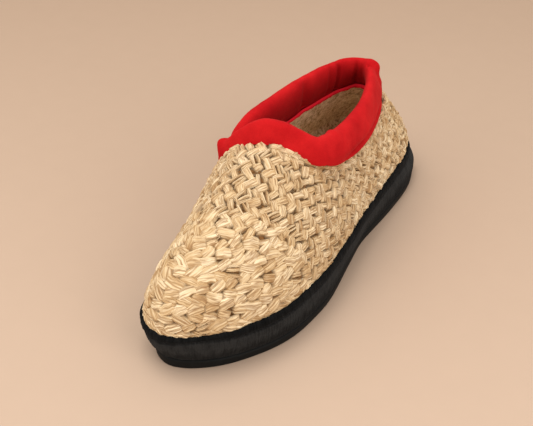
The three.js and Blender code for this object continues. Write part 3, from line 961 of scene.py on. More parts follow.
class StrawPlan:
    """Collects where each strip of straw lies, how it is turned and how large it is."""

    def __init__(self, seed):
        self.random = np.random.default_rng(seed)
        self.rows = []

    def add(self, place, along, normal, size, kind, shade=0.0):
        """Adds one shape with its length along a direction and its top along a normal."""
        turn = Matrix((along, np.cross(normal, along), normal)).transposed().to_euler()
        self.rows.append((place, tuple(turn), np.array(size) * MM, int(kind), shade))

    def lay(self, place, along, normal, angle, size, kinds, shade=0.0):
        """Adds a strip turned by an angle in the skin, with small chance changes."""
        angle += self.random.normal(0, TURN_CHANCE) + math.pi * self.random.integers(0, 2)
        direction = unit(along * math.cos(angle) + np.cross(normal, along) * math.sin(angle))
        up = unit(normal + self.random.normal(0, TILT_CHANCE) * np.cross(normal, direction))
        direction = unit(direction - up * np.dot(direction, up))
        size = np.array(size) * self.random.normal(1, SIZE_CHANCE, 3)
        spot = place + direction * self.random.normal(0, ALONG_CHANCE)
        spot = spot + np.cross(up, direction) * self.random.normal(0, ASIDE_CHANCE)
        self.add(spot, direction, up, size, self.random.choice(kinds), shade)

    def lay_float(self, place, along, normal, angle, size):
        """Adds one float of the weave: a ribbon, or two or three strands side by side."""
        split = sizes().split_share
        shares = (1 - split, PAIR_SHARE * split, TRIPLE_SHARE * split)
        count = int(self.random.choice((1, 2, 3), p=shares))
        if count == 1:
            self.lay(place, along, normal, angle, size, RIBBONS)
            return
        direction = along * math.cos(angle) + np.cross(normal, along) * math.sin(angle)
        side = unit(np.cross(normal, direction))
        strand = (size[0], STRAND_OVERLAP * size[1] / count, size[2])
        for k in range(count):
            off = ((k + 0.5) / count - 0.5) * size[1]
            spot = place + side * off + normal * self.random.uniform(*STRAND_LIFT)
            self.lay(spot, along, normal, angle - STRAND_FAN * off, strand, STRANDS)

    def lay_shaded_pit(self, place, along, normal):
        """Adds a strand deep in a corner of the weave, painted dark as the corner's shade."""
        angle = self.random.uniform(0, 3)
        self.lay(place - PIT_DEPTH * normal, along, normal, angle, PIT_STRIP, STRANDS, 1.0)

    def cloud(self, name):
        """The plan as a mesh of points with attributes."""
        mesh = bpy.data.meshes.new(name)
        mesh.from_pydata([((row[0] + SHIFT) * MM).tolist() for row in self.rows], [], [])
        kinds = {"turn": "FLOAT_VECTOR", "size": "FLOAT_VECTOR", "kind": "INT", "shade": "FLOAT"}
        for k, (field, kind) in enumerate(kinds.items()):
            values = np.array([row[k + 1] for row in self.rows]).ravel()
            key = "vector" if kind == "FLOAT_VECTOR" else "value"
            mesh.attributes.new(field, kind, "POINT").data.foreach_set(key, values)
        return linked(name, mesh)


def scatter_tree():
    """Geometry Nodes that set a chosen shape on each point of a plan."""
    tree = bpy.data.node_groups.new("laid_shapes", "GeometryNodeTree")
    kinds = {"Geometry": "Geometry", "Shapes": "Collection", "Finish": "Material", "Seed": "Int"}
    for name, kind in kinds.items():
        tree.interface.new_socket(name, in_out="INPUT", socket_type=f"NodeSocket{kind}")
    tree.interface.new_socket("Geometry", in_out="OUTPUT", socket_type="NodeSocketGeometry")

    def add(kind, settings, **inputs):
        node = tree.nodes.new(kind)
        for name, value in settings.items():
            setattr(node, name, value)
        for name, value in inputs.items():
            socket = node.inputs[name.replace("_", " ")]
            if hasattr(value, "is_output"):
                tree.links.new(value, socket)
            else:
                socket.default_value = value
        return node.outputs

    def named(name, kind):
        return add("GeometryNodeInputNamedAttribute", {"data_type": kind}, Name=name)["Attribute"]

    start = add("NodeGroupInput", {})
    apart = {"Separate_Children": True, "Reset_Children": True}
    shapes = add("GeometryNodeCollectionInfo", {}, Collection=start["Shapes"], **apart)
    laid = add(
        "GeometryNodeInstanceOnPoints",
        {},
        Points=start["Geometry"],
        Instance=shapes["Instances"],
        Pick_Instance=True,
        Instance_Index=named("kind", "INT"),
        Rotation=named("turn", "FLOAT_VECTOR"),
        Scale=named("size", "FLOAT_VECTOR"),
    )
    chance = add("FunctionNodeRandomValue", {"data_type": "FLOAT"}, Seed=start["Seed"])
    tint = add(
        "GeometryNodeStoreNamedAttribute",
        {"data_type": "FLOAT", "domain": "INSTANCE"},
        Geometry=laid["Instances"],
        Name="tint",
        Value=chance[1],
    )
    real = add("GeometryNodeRealizeInstances", {}, Geometry=tint["Geometry"])
    finish = add("GeometryNodeSetMaterial", {}, Geometry=real["Geometry"], Material=start["Finish"])
    add("NodeGroupOutput", {}, Geometry=finish["Geometry"])
    return tree


def grow(cloud, shapes, material, seed):
    """Sets the shapes on a plan's points and keeps the plain mesh."""
    store = bpy.data.collections.new(f"{cloud.name}_shapes")
    for shape in shapes:
        store.objects.link(shape)
    tree = bpy.data.node_groups.get("laid_shapes") or scatter_tree()
    modifier = cloud.modifiers.new("laid", "NODES")
    modifier.node_group = tree
    values = {"Shapes": store, "Finish": material, "Seed": seed}
    for item in tree.interface.items_tree:
        if item.in_out == "INPUT" and item.name in values:
            modifier[item.identifier] = values[item.name]
    baked(cloud)
    for shape in shapes:
        bpy.data.objects.remove(shape)
    bpy.data.collections.remove(store)
    if not len(cloud.data.polygons):
        raise RuntimeError(f"{cloud.name}: nothing was laid on its points")
    return cloud


BASKET_REACH = 66
BASKET_TOE_Y = -62
BASKET_TONGUE = 24
BASKET_HEEL_Y = 93
BASKET_FOOT_ROOM = 5
BASKET_SEAM_ROOM = 4.5
WANDER = 2.4
WANDER_SCALE = 45
STEEP_RISE = 1.3
UPRIGHT_TRIM = 0.17
# Length and width as shares of the lattice steps, height in millimetres.
LENGTHWISE_FLOAT = (1.42, 1.04, 1.6)
CROSSWISE_FLOAT = (1.56, 0.92, 1.85)
ROWS_START = 5.2
TOP_ROOM = 3
TOE_OVERLAP = 4
LEAF_LEANS = (math.radians(-19), math.radians(21))
LEAF_SMALL = (9.8, 6.8, 1.9)
LEAF_LARGE = (13.8, 9.2, 2.6)
LEAF_FLOATS = 0.16
LEAF_FLOAT_HIGH = 2.4
HEEL_CELLS_Y = 90
HEEL_TURN = 0.2
HEEL_ROUND_FLOAT = (8.2, 4.7, 3.1)
HEEL_UP_FLOAT = (7.2, 4.6, 3.4)
WALL_ROWS = 44
WALL_SINK = 1.0
WALL_THICK = 1.4


def below_seam(place, room):
    """True where the straw still lies under the collar seam by some room."""
    return place[2] < float(seam_z(place[0], place[1])) - room


def basket_begins(across):
    """Where the plain weave starts behind the toe, further forward on top."""
    waver = noise.noise(Vector((across / 25, 1.3, 8.1)))
    return BASKET_TOE_Y - BASKET_TONGUE * math.exp(-((across / 30) ** 2)) + 5 * waver


def lay_basket(plan):
    """Plain weave on a skewed lattice over the instep and both sides, with fillers in its corners painted
    dark as their shade.

    Floats are longer and wider where the skin slopes along the shoe, because the lattice is stretched there,
    and higher and a little narrower where the wall stands upright.
    """
    size = sizes()
    step_a, step_b = size.weave_along / MM, size.weave_up / MM
    a = np.array([math.cos(size.weave_turn), math.sin(size.weave_turn)])
    b = np.array([math.cos(size.weave_cross), -math.sin(size.weave_cross)])
    lengthwise = (-size.weave_turn, LENGTHWISE_FLOAT, step_a, step_b)
    crosswise = (size.weave_cross, CROSSWISE_FLOAT, step_b, step_a)
    lattice = range(-BASKET_REACH, BASKET_REACH + 1)
    for i in lattice:
        for j in lattice:
            y, across = i / 2 * step_a * a + j / 2 * step_b * b
            wave = Vector((y / WANDER_SCALE, across / WANDER_SCALE, 3.7))
            y += WANDER * noise.noise(wave)
            across += WANDER * noise.noise(wave + Vector((11, 5, 2)))
            if not basket_begins(across) < y < BASKET_HEEL_Y:
                continue
            if VAMP_CHART.room(y, across) < BASKET_FOOT_ROOM:
                continue
            place, heelward, normal = VAMP_CHART.frame(y, across)
            if not below_seam(place, BASKET_SEAM_ROOM):
                continue
            if i % 2 and j % 2:
                plan.lay_shaded_pit(place, heelward, normal)
            elif i % 2 == 0 and j % 2 == 0:
                angle, share, step, other_step = lengthwise if (i + j) % 4 == 0 else crosswise
                slope = 1 / math.sqrt(1 - heelward[2] ** 2)
                upright = 1 - abs(normal[2])
                wide = slope * (1 - UPRIGHT_TRIM * upright)
                high = share[2] + STEEP_RISE * upright
                flat = (share[0] * slope * step, share[1] * wide * other_step, high)
                plan.lay_float(place, heelward, normal, angle, flat)


def ring_run(height):
    """Distance round the shoe at each column, at a distance up from the foot."""
    chart = WALL_CHART
    columns = np.arange(chart.count + 1) % chart.count
    return run_lengths(chart.points(columns, np.minimum(height, chart.run[columns, -1])))


def column_at(at, run):
    """The column at a distance round the shoe."""
    return float(np.interp(at, run, np.arange(len(run))))


def lay_rows(plan, keep, first_height, spacing, pitch, rows, fill):
    """Rows of strips parallel to the foot, where keep says so, with fillers between them painted dark as
    their shade.
    """
    for k in range(2 * rows):
        height = first_height + k * spacing / 2
        run = ring_run(height)
        steps = int(run[-1] / pitch)
        for m in range(steps):
            column = column_at((m + 0.25 * k) / steps % 1 * run[-1], run)
            whole = int(column) % WALL_CHART.count
            if height > WALL_CHART.length[whole] - TOP_ROOM:
                continue
            place, around, normal = WALL_CHART.frame(column, height)
            if not keep(place, whole, height):
                continue
            if k % 2:
                plan.lay_shaded_pit(place, around, normal)
            else:
                fill(plan, place, around, normal, k // 2, m)


def on_toe(place, column, height):
    """True on the toe, in front of the plain weave."""
    from_spine = WALL_CHART.run[column, -1] - height
    return place[1] < basket_begins(from_spine) + TOE_OVERLAP


def on_heel(place, column, height):
    """True on the heel, behind the plain weave."""
    return place[1] > HEEL_CELLS_Y


def toe_leaf(plan, place, around, normal, row, step):
    """A broad leaf that leans to and fro from row to row, now and then a float instead."""
    lean = LEAF_LEANS[row % 2]
    size = plan.random.uniform(LEAF_SMALL, LEAF_LARGE)
    if plan.random.random() < LEAF_FLOATS:
        plan.lay_float(place, around, normal, lean, (0.9 * size[0], 0.9 * size[1], LEAF_FLOAT_HIGH))
    else:
        plan.lay(place, around, normal, lean, size, LEAVES)


def heel_cell(plan, place, around, normal, row, step):
    """Small knobby cells of plain weave."""
    if (row + step) % 2:
        plan.lay_float(place, around, normal, HEEL_TURN, HEEL_ROUND_FLOAT)
    else:
        plan.lay_float(place, around, normal, math.pi / 2 + HEEL_TURN, HEEL_UP_FLOAT)


# Rows along the rims. Sizes are length, width and height of a strip, turns are common changes in radians.
FOOT_ROW_HEIGHT = 4.6
FOOT_ROW_PITCH = 8.6
FOOT_ROW_TURN = 0.22
FOOT_ROW_STRIP = (12.5, 6.0, 2.2)
RIM_DEPTH = 1.8
RIM_PITCH = 7.4
RIM_LIFT = 0.7
RIM_FRONT_Y = -8
RIM_FRONT_TURN = 0.16
RIM_FRONT_STRIP = (13, 5.4, 2.0)
RIM_BACK_TURN = 0.8
RIM_BACK_STRIP = (9.0, 4.6, 2.6)
RIM_LOWER_DROP = 4.0
RIM_LOWER_TURN = 0.5
RIM_LOWER_STRIP = (8.5, 4.4, 2.2)
TIP_START = 4
TIP_PITCH = 9.5
TIP_RISE = np.array([0, 0, 0.8])
LOOK_AHEAD = 2
# Loose fibres on top of the weave.
LOOSE_FIBRES = 60
LOOSE_FOOT_ROOM = 11
LOOSE_LIFT = 0.8


def lay_rims(plan):
    """A row of strips along the binding, and two rows and short tips along the collar."""
    chart = WALL_CHART
    run = ring_run(FOOT_ROW_HEIGHT)
    for at in np.arange(0, run[-1], FOOT_ROW_PITCH):
        height = FOOT_ROW_HEIGHT + plan.random.normal(0, 0.5)
        place, around, normal = chart.frame(column_at(at, run), height)
        plan.lay(place, around, normal, plan.random.normal(0, FOOT_ROW_TURN), FOOT_ROW_STRIP, RIBBONS)
    rim = [c for c in range(chart.count) if not chart.full[c]]
    rim.sort(key=lambda c: (c - SIDE_COLUMNS) % chart.count)
    frames = [chart.frame(c, chart.length[c] - RIM_DEPTH) for c in rim]
    line = looped(np.array([each[0] for each in frames]))
    normals = looped(np.array([each[2] for each in frames]))
    run = run_lengths(line)
    for at in np.arange(0, run[-1], RIM_PITCH):
        place = on_line(at, run, line)
        ahead = on_line(at + LOOK_AHEAD, run, line)
        normal = unit(on_line(at, run, normals))
        along = unit(ahead - place - normal * np.dot(ahead - place, normal))
        front = place[1] < RIM_FRONT_Y
        turn = plan.random.normal(0, RIM_FRONT_TURN if front else RIM_BACK_TURN)
        strip = RIM_FRONT_STRIP if front else RIM_BACK_STRIP
        plan.lay(place + RIM_LIFT * normal, along, normal, turn, strip, RIBBONS)
        down = unit(np.cross(along, normal))
        down = -down if down[2] > 0 else down
        turn = plan.random.normal(0, RIM_LOWER_TURN)
        plan.lay(place + RIM_LOWER_DROP * down, along, normal, turn, RIM_LOWER_STRIP, RIBBONS)
    for at in np.arange(TIP_START, run[-1], TIP_PITCH):
        place = on_line(at, run, line)
        normal = unit(on_line(at, run, normals))
        along = unit(on_line(at + LOOK_AHEAD, run, line) - place)
        turn = plan.random.uniform(0.2, 1.2)
        size = (plan.random.uniform(4, 7), 2.2, 1.2)
        plan.lay(place + 1.0 * normal + TIP_RISE, along, normal, turn, size, STRANDS)


def lay_loose(plan):
    """Loose fibres on top of the weave."""
    chart = WALL_CHART
    for _ in range(LOOSE_FIBRES):
        column = plan.random.uniform(0, chart.count)
        height = plan.random.uniform(LOOSE_FOOT_ROOM, chart.length[int(column)] - TOP_ROOM)
        place, around, normal = chart.frame(column, height)
        size = (plan.random.uniform(4, 9), 0.8, 0.8)
        plan.lay(place + LOOSE_LIFT * normal, around, normal, plan.random.uniform(0, math.pi), size, STRANDS)


def straw_pieces():
    """The wall under the straw and the strips that are laid over it."""
    points, faces = WALL_CHART.surface(WALL_ROWS)
    wall = new_mesh_object("straw_wall", points, faces, straw_shadow_material())
    push = wall.modifiers.new("sink", "DISPLACE")
    push.strength = -WALL_SINK * MM
    push.mid_level = 0.0
    baked(wall)
    solidified(wall, WALL_THICK)
    settle(wall, "straw", "upper")
    plan = StrawPlan(sizes().weave_seed)
    lay_basket(plan)
    lay_rows(plan, on_toe, ROWS_START, spacing=5.5, pitch=8.6, rows=18, fill=toe_leaf)
    lay_rows(plan, on_heel, ROWS_START, spacing=5.3, pitch=6.0, rows=15, fill=heel_cell)
    lay_rims(plan)
    lay_loose(plan)
    shapes = [strip_object(k) for k in range(len(STRIP_SHAPES["blunt"]))]
    strips = grow(plan.cloud("straw_strips"), shapes, straw_material(), sizes().weave_seed)
    settle(strips, "straw")


# Collar.

# Columns: place of a crease on the roll's top line, its turn round the section in degrees (0 outside, 90 on
# top, 180 inside), its depth, or its height where negative, its reach along the roll and round the section.
ROLL_CREASES = table(
    "x y turn depth along round",
    (4.0, 96.5, 84, 5.0, 0.9, 20),
    (1.6, 99.1, 68, -2.4, 3.0, 26),
    (2.6, 98, 46, -3.0, 2.2, 22),
    (6.5, 93, 15, 1.6, 5, 30),
    (9.2, -23.4, 105, -1.9, 10, 55),
    (-6.6, 99.4, 165, 2.0, 1.5, 50),
    (-15.7, 87.6, 165, 3.2, 1.6, 58),
    (-18.5, 80.2, 160, 1.7, 2.0, 50),
    (-24.2, 54.7, 165, 2.9, 4.0, 48),
    (18.5, 65, 0, 1.2, 17, 45),
    (13.5, 80, 5, 0.3, 10, 45),
    (21.5, -9.5, 120, 2.4, 5.4, 46),
    (25.9, 4.6, 112, -1.3, 2.4, 40),
    (-31, -15, 40, 1.2, 2.4, 60),
    (-31, -20, 82, 3.4, 5.0, 34),
    (-29.4, -25, 46, -3.2, 2.0, 26),
    (-28.6, -26, 20, -1.0, 3.0, 26),
)
HEM_RISE = 8.5
HEM_TURN = 191
HEM_HALF = 1.2
HEM_THICK = 0.9
HEM_SECTION = 8
HEM_INWARD = 1.5
HEM_DROP = 0.7
HEM_RAGGED = 1.1
UNDER_FOLD_TURN = 342
UNDER_FOLD_DEPTH = 3.2
FRONT_TRIM = 0.46
ROLL_TAPER = 0.7
# Place and spread round the section of the painted shade on the roll's inner side.
INSIDE_SHADE_TURN = 180
INSIDE_SHADE_SPREAD = 45
BELLY = 1.3
BELLY_TURN = -20
BELLY_SPREAD = 34
HEM_GROOVE = 1.1
GROOVE_SPREAD = 6
UNDER_FOLD_SPREAD = 6
UNDER_LIP = 0.4
UNDER_LIP_TURN = 14
UNDER_LIP_SPREAD = 8
SECTION_TOP_POWER = 0.95
SECTION_LOW_POWER = 0.6
FLAP_SQUARING = 0.38
INSIDE_TURN = 120
SEAM_GAP = 0.3
DRAPE_SINK = 0.5
# Where each change of the section fades in, from none to all of it.
FLAP_BEGINS = (-8, -20)
BACK_BEGINS = (-10, 10)
FOLD_BEGINS = (6, 26)
FOLD_ENDS = (94, 80)
TRIM_BEGINS = (-30, -21)
INSIDE_BEGINS = (0.1, 0.8)


def turn_from(degrees, middle):
    """Signed turn from a place round the section."""
    return (degrees - middle + 180) % 360 - 180


def roll_sink(path, degrees):
    """How far the roll's skin lies below its plain section: creases, hem groove, belly and the fold below."""
    run = run_lengths(looped(path))
    sink = np.zeros((ROLL_POINTS, ROLL_SECTION))
    for x, y, turn, depth, along, around in zip(*ROLL_CREASES.values()):
        middle = np.argmin(np.hypot(path[:, 0] - x, path[:, 1] - y))
        gap = (run[:-1] - run[middle] + run[-1] / 2) % run[-1] - run[-1] / 2
        sink += depth * (hump(gap, along)[:, None] * hump(turn_from(degrees, turn), around)[None, :])
    groove = HEM_GROOVE * hump(degrees - HEM_TURN, GROOVE_SPREAD)
    sink += (groove - BELLY * hump(turn_from(degrees, BELLY_TURN), BELLY_SPREAD))[None, :]
    near_side = part_way(path[:, 1], *FOLD_BEGINS) * part_way(path[:, 1], *FOLD_ENDS) * (path[:, 0] > 0)
    away = turn_from(degrees, UNDER_FOLD_TURN)
    lip = UNDER_LIP * hump(away + UNDER_LIP_TURN, UNDER_LIP_SPREAD)
    under = hump(away, UNDER_FOLD_SPREAD) - lip
    return sink + UNDER_FOLD_DEPTH * near_side[:, None] * under[None, :]


def roll_points():
    """The padded roll's sections with their creases, and the line of its inner hem."""
    path = smooth_curve(side_by_side(ROLL, "x", "y", "top"), ROLL_POINTS, closed=True)
    shape = smooth_curve(side_by_side(ROLL, "half", "tall", "lean"), ROLL_POINTS, closed=True, power=0)
    half, tall, lean = (shape[:, k][:, None] for k in range(3))
    turn = 2 * math.pi * np.arange(ROLL_SECTION) / ROLL_SECTION
    degrees = np.degrees(turn)
    front = part_way(path[:, 1], *FLAP_BEGINS)[:, None]
    behind = part_way(path[:, 1], *BACK_BEGINS)[:, None]
    outer = np.cos(turn)[None, :] > 0
    outer_low = outer & (np.sin(turn)[None, :] < 0)
    power = np.where(np.sin(turn) < 0, SECTION_LOW_POWER, SECTION_TOP_POWER)
    up = np.sign(np.sin(turn)) * np.abs(np.sin(turn)) ** power
    out = np.sign(np.cos(turn)) * np.abs(np.cos(turn)) ** (power - FLAP_SQUARING * front * outer_low)
    out = out * (1 - ROLL_TAPER * behind * outer_low * np.abs(up)[None, :])
    sink = roll_sink(path, degrees)
    down = tall * (1 - up[None, :])
    kept = part_way(path[:, 0], *TRIM_BEGINS)[:, None]
    push_out = np.cos(turn)[None, :] * tall
    push_up = np.sin(turn)[None, :] * half
    size = np.hypot(push_out, push_up)
    reach = half * out * (1 - FRONT_TRIM * front * kept * outer) + lean * down - sink * push_out / size
    plan = path[:, None, :2] + right_of(path)[:, None, :] * reach[..., None]
    height = path[:, None, 2] - down - sink * push_up / size
    inward = part_way(-out, *INSIDE_BEGINS)
    floor = seam_z(plan[..., 0], plan[..., 1]) + SEAM_GAP + HEM_RISE * inward**0.7
    drape = np.minimum(floor, skin_z(plan[..., 0], plan[..., 1]) - DRAPE_SINK)
    floor = np.where(outer, floor + front * (drape - floor), floor)
    rings = np.concatenate([plan, np.maximum(height, floor)[..., None]], axis=2)
    ended = (height < floor) & (degrees[None, :] > INSIDE_TURN)
    corner = np.where(ended.any(axis=1), ended.argmax(axis=1), int(ROLL_SECTION * HEM_TURN / 360))
    return rings, smooth_ring(rings[np.arange(ROLL_POINTS), corner], 4)


def hem_points(rings, hem):
    """A narrow turned edge of velvet below the roll's inner crease, a little ragged at the bottom."""
    inward = unit(rings[:, ROLL_SECTION // 2, :2] - rings[:, 0, :2])
    turn = 2 * math.pi * np.arange(HEM_SECTION) / HEM_SECTION
    low = np.clip(-np.sin(turn), 0, 1)[None, :] * (0.5 + soft_noise(hem, 3.2, 23))[:, None]
    reach = HEM_INWARD + HEM_THICK * np.cos(turn)[None, :] + 0.25 * soft_noise(hem, 9, 29)[:, None]
    plan = hem[:, None, :2] + inward[:, None, :] * reach[..., None]
    height = hem[:, None, 2] - HEM_DROP + HEM_HALF * np.sin(turn)[None, :] - HEM_RAGGED * low
    return np.concatenate([plan, height[..., None]], axis=2)


def collar_piece():
    """The red velvet roll round the opening."""
    rings, hem = roll_points()
    points = rings.reshape(-1, 3)
    lumps = 0.5 * soft_noise(points, 17, 3) + 0.22 * soft_noise(points, 6, 5)
    centre = np.repeat(rings.mean(axis=1), ROLL_SECTION, axis=0)
    points = points + unit(points - centre) * lumps[:, None]
    faces = ring_faces(ROLL_POINTS, ROLL_SECTION, closed_rings=True)
    edge = hem_points(rings, hem).reshape(-1, 3)
    for face in ring_faces(ROLL_POINTS, HEM_SECTION, closed_rings=True):
        faces.append([corner + len(points) for corner in face])
    roll = new_mesh_object("collar_roll", np.vstack([points, edge]), faces, velvet_material())
    outward(roll)
    degrees = 360 * np.arange(ROLL_SECTION) / ROLL_SECTION
    # Painted shade on the roll's inner side; the hem's points get -1 for a painted highlight.
    inside = np.tile(hump(degrees - INSIDE_SHADE_TURN, INSIDE_SHADE_SPREAD), ROLL_POINTS)
    inside = np.concatenate([inside, np.full(len(edge), -1.0)])
    roll.data.attributes.new("inside", "FLOAT", "POINT").data.foreach_set("value", inside)
    settle(roll, "collar_velvet", "collar")


# Lining and insole.

LINING_DEPTH = 3.3
LINING_THICK = 0.8
COVE_REACH = 8
COVE_RISE = 9
HEM_REACH = 18
HEM_BEND = 4
HEM_OVERLAP = 1.0


def lining_piece():
    """Brown felt inside the upper, carried up to the collar's hem."""
    chart = WALL_CHART
    points, faces = chart.surface(WALL_ROWS)
    normals = vertex_normals(points, faces)
    inside = points - LINING_DEPTH * normals
    rise = np.clip((points[:, 2] - INSOLE_TOP) / COVE_RISE, 0, 1)
    cove = COVE_REACH * (1 - rise) ** 3
    inside[:, :2] -= cove[:, None] * unit(normals[:, :2])
    inside[:, 2] = points[:, 2] + rise * (inside[:, 2] - points[:, 2])
    rings, hem = roll_points()
    hem = hem - np.array([0, 0, HEM_OVERLAP])
    middle = (rings[:, 0, :2] + rings[:, ROLL_SECTION // 2, :2]) / 2
    for c in np.nonzero(~chart.full)[0]:
        column = np.arange(WALL_ROWS) + c * WALL_ROWS
        top = chart.top_of[c]
        line = np.vstack([inside[column], inside[top]])
        heights = np.linspace(0, chart.length[c], WALL_ROWS + 1)
        goal = hem[np.argmin(np.linalg.norm(middle - line[-1, :2], axis=1))]
        start = chart.length[c] - HEM_REACH
        low = on_line(start, heights, line)
        bend = on_line(chart.length[c] - HEM_BEND, heights, line)
        part = np.clip((heights - start) / HEM_REACH, 0, 1)[:, None]
        curve = (1 - part) ** 2 * low + 2 * part * (1 - part) * bend + part**2 * goal
        line = np.where(heights[:, None] > start, curve, line)
        inside[column] = line[:-1]
        inside[top] = line[-1]
    lining = new_mesh_object("felt_lining", inside, faces, felt_material())
    welded(lining)
    solidified(lining, LINING_THICK)
    settle(lining, "felt")


def stacked(name, rings, material, levels, tube=False):
    """A closed block or tube from rings, with the run round it and the level of each ring as a map."""
    count = len(rings[0])
    faces = ring_faces(len(rings), count, closed_rings=tube)
    if not tube:
        faces.append(list(range(count)))
        faces.append(list(range((len(rings) - 1) * count, len(rings) * count))[::-1])
    run = run_lengths(looped(rings[0]))[:-1] * MM
    uvs = np.column_stack([np.tile(run, len(rings)), np.repeat(levels, count) * MM])
    piece = new_mesh_object(name, np.vstack(rings), faces, material, uvs)
    outward(piece)
    return piece


def sharp_caps(piece):
    """Keeps the flat ends of a stacked block flat."""
    for face in piece.data.polygons:
        if len(face.vertices) > 4:
            face.use_smooth = False


def insole_piece():
    """The felt footbed."""
    count = SOLE_POINTS // 2
    line = even_ring(smooth_ring(even_ring(inset_line(EDGE_LINE, INSOLE_INSET), count), 5), count)
    levels = (FOOT_Z, FOOT_Z + 1.6, INSOLE_TOP - 0.5, INSOLE_TOP)
    rings = []
    for z, inset in zip(levels, (0, 0.1, 0.7, 2)):
        rings.append(np.column_stack([inset_line(line, inset), np.full(count, z)]))
    insole = stacked("insole_felt", rings, felt_material(), levels)
    settle(insole, "felt", "insole")


# Sole.

PLATFORM_ROWS = table(
    "z inset",
    (6.8, 3.4),
    (7.0, 1.3),
    (7.5, 0.4),
    (8.6, 0.05),
    (12.5, -0.15),
    (15, -0.2),
    (17.5, -0.15),
    (20, 0),
    (22.2, 0.1),
    (23.0, 0.35),
    (23.5, 0.9),
    (24.8, 1.1),
    (25.5, 1.8),
    (24.5, 3.2),
)
OUTSOLE_ROWS = table(
    "z inset",
    (0, 1.3),
    (0.5, 0.8),
    (1.2, 0.55),
    (2.6, 0.45),
    (4, 0.4),
    (5, 0.5),
    (5.6, 1.0),
    (6.5, 3.4),
)
BINDING_ROWS = table(
    "z inset",
    (25.3, 1.6),
    (24.9, 0.8),
    (25.0, -0.05),
    (25.7, -0.5),
    (26.8, -0.55),
    (28.2, -0.5),
    (29.4, -0.2),
    (30.2, 0.35),
    (30.6, 1.0),
    (30.3, 1.6),
    (29.4, 1.9),
    (26.5, 1.9),
)
BINDING_OUTER_ROWS = 9
PLATFORM_RIBS = 900.0
BINDING_RIBS = 500.0
SEAM_SHIFT_FOOT = 12
PUCKER_LEVELS = (26, 30)
STITCH_OUT = 0.3
STITCH_UP = 0.2
STITCH_SHARE = 0.72
STITCH_THICK = 0.6
STITCH_SEED = 5


def ruffled(ring, amount, scale, seed):
    """A level line with small waves in and out, as cloth pulled over an edge."""
    away = unit(ring[:, :2] - ring[:, :2].mean(axis=0))
    moved = ring.copy()
    moved[:, :2] += away * (amount * soft_noise(ring, scale, seed))[:, None]
    return moved


def near_place(ring, place, reach):
    """One at a place in plan, fading away from it."""
    return np.exp(-np.sum((ring[:, :2] - place) ** 2, axis=1) / reach**2)


def heel_share(ring):
    """Zero at the waist, one at the heel."""
    back = part_way(ring[:, 1], HEEL_DROP_START, HEEL_DROP_END)
    return back**2 * (3 - 2 * back)


def seam_shift(ring):
    """How far the binding's seam lies above its usual level."""
    toe_rise = SEAM_TOE_RISE * near_place(ring, TOE_RISE_PLACE, TOE_RISE_REACH)
    return toe_rise - SEAM_HEEL_DROP * heel_share(ring)


def platform_piece():
    """The cloth-covered platform."""
    rows = PLATFORM_ROWS
    rings = []
    for z, inset in zip(rows["z"], rows["inset"]):
        rise = min(1.0, (z - OUTSOLE_TOP) / (PLATFORM_TOP - OUTSOLE_TOP))
        ring = ruffled(wall_ring(rise, inset, z), 0.25, 14, 2)
        if len(rings) < len(rows["z"]) - 1:
            ring[:, 2] += part_way(z, SEAM_SHIFT_FOOT, PLATFORM_TOP) * seam_shift(ring)
        rings.append(ring)
    tones = colours()
    cloth = cloth_material("platform_cloth", tones.platform_deep, tones.platform_dust_and_highlight, PLATFORM_RIBS)
    platform = stacked("platform_cover", rings, cloth, rows["z"])
    sharp_caps(platform)
    settle(platform, "platform_cloth", "platform")


def outsole_piece():
    """The thin black outsole, a little inside the platform."""
    rows = OUTSOLE_ROWS
    rings = []
    for z, inset in zip(rows["z"], rows["inset"]):
        ring = smooth_ring(wall_ring(0, inset, z), 5)
        ring[:, 2] = z + (ring[:, 2] - z) * z / OUTSOLE_TOP
        rings.append(ring)
    outsole = stacked("outsole_rubber", rings, rubber_material(), rows["z"])
    sharp_caps(outsole)
    settle(outsole, "outsole", "outsole")


def binding_piece():
    """The black tape that binds straw to platform, puckered by its stitches."""
    rows = BINDING_ROWS
    rings = []
    for z, inset in zip(rows["z"], rows["inset"]):
        ring = wall_ring(1, inset, z)
        low = part_way(z, BINDING_TOP, SEAM_Z)
        top_drop = BINDING_HEEL_DROP * heel_share(ring)
        top_drop += BINDING_TOE_DROP * near_place(ring, TOE_DROP_PLACE, TOE_DROP_REACH)
        ring[:, 2] += low * seam_shift(ring) - (1 - low) * top_drop
        pucker = 0.6 * soft_noise(ring, 7, 4) + 0.8 * soft_noise(ring, 2.6, 6)
        ring[:, 2] += part_way(z, *PUCKER_LEVELS) * pucker
        if len(rings) < BINDING_OUTER_ROWS:
            ring = ruffled(ring, 0.3, 5, 7)
        rings.append(ring)
    tones = colours()
    cloth = cloth_material("binding_cloth", tones.binding_deep, tones.binding_worn, BINDING_RIBS)
    binding = stacked("binding_tape", rings, cloth, rows["z"], tube=True)
    settle(binding, "binding_cloth", "binding")


def stitch_object():
    """One short stitch of thread, one unit long."""
    points = []
    around, rings = 6, 5
    for i in range(rings):
        u = i / (rings - 1) * 2 - 1
        thick = 0.5 * (1 - abs(u) ** 3) ** 0.5 + 0.04
        for k in range(around):
            angle = 2 * math.pi * k / around
            points.append((0.5 * u, thick * math.cos(angle), thick * math.sin(angle) - 0.5 * u * u))
    faces = ring_faces(rings, around)
    faces.append(list(range(around))[::-1])
    faces.append(list(range((rings - 1) * around, rings * around)))
    mesh = bpy.data.meshes.new("stitch")
    mesh.from_pydata(points, [], faces)
    mesh.shade_smooth()
    stitch = bpy.data.objects.new("stitch", mesh)
    outward(stitch)
    return stitch


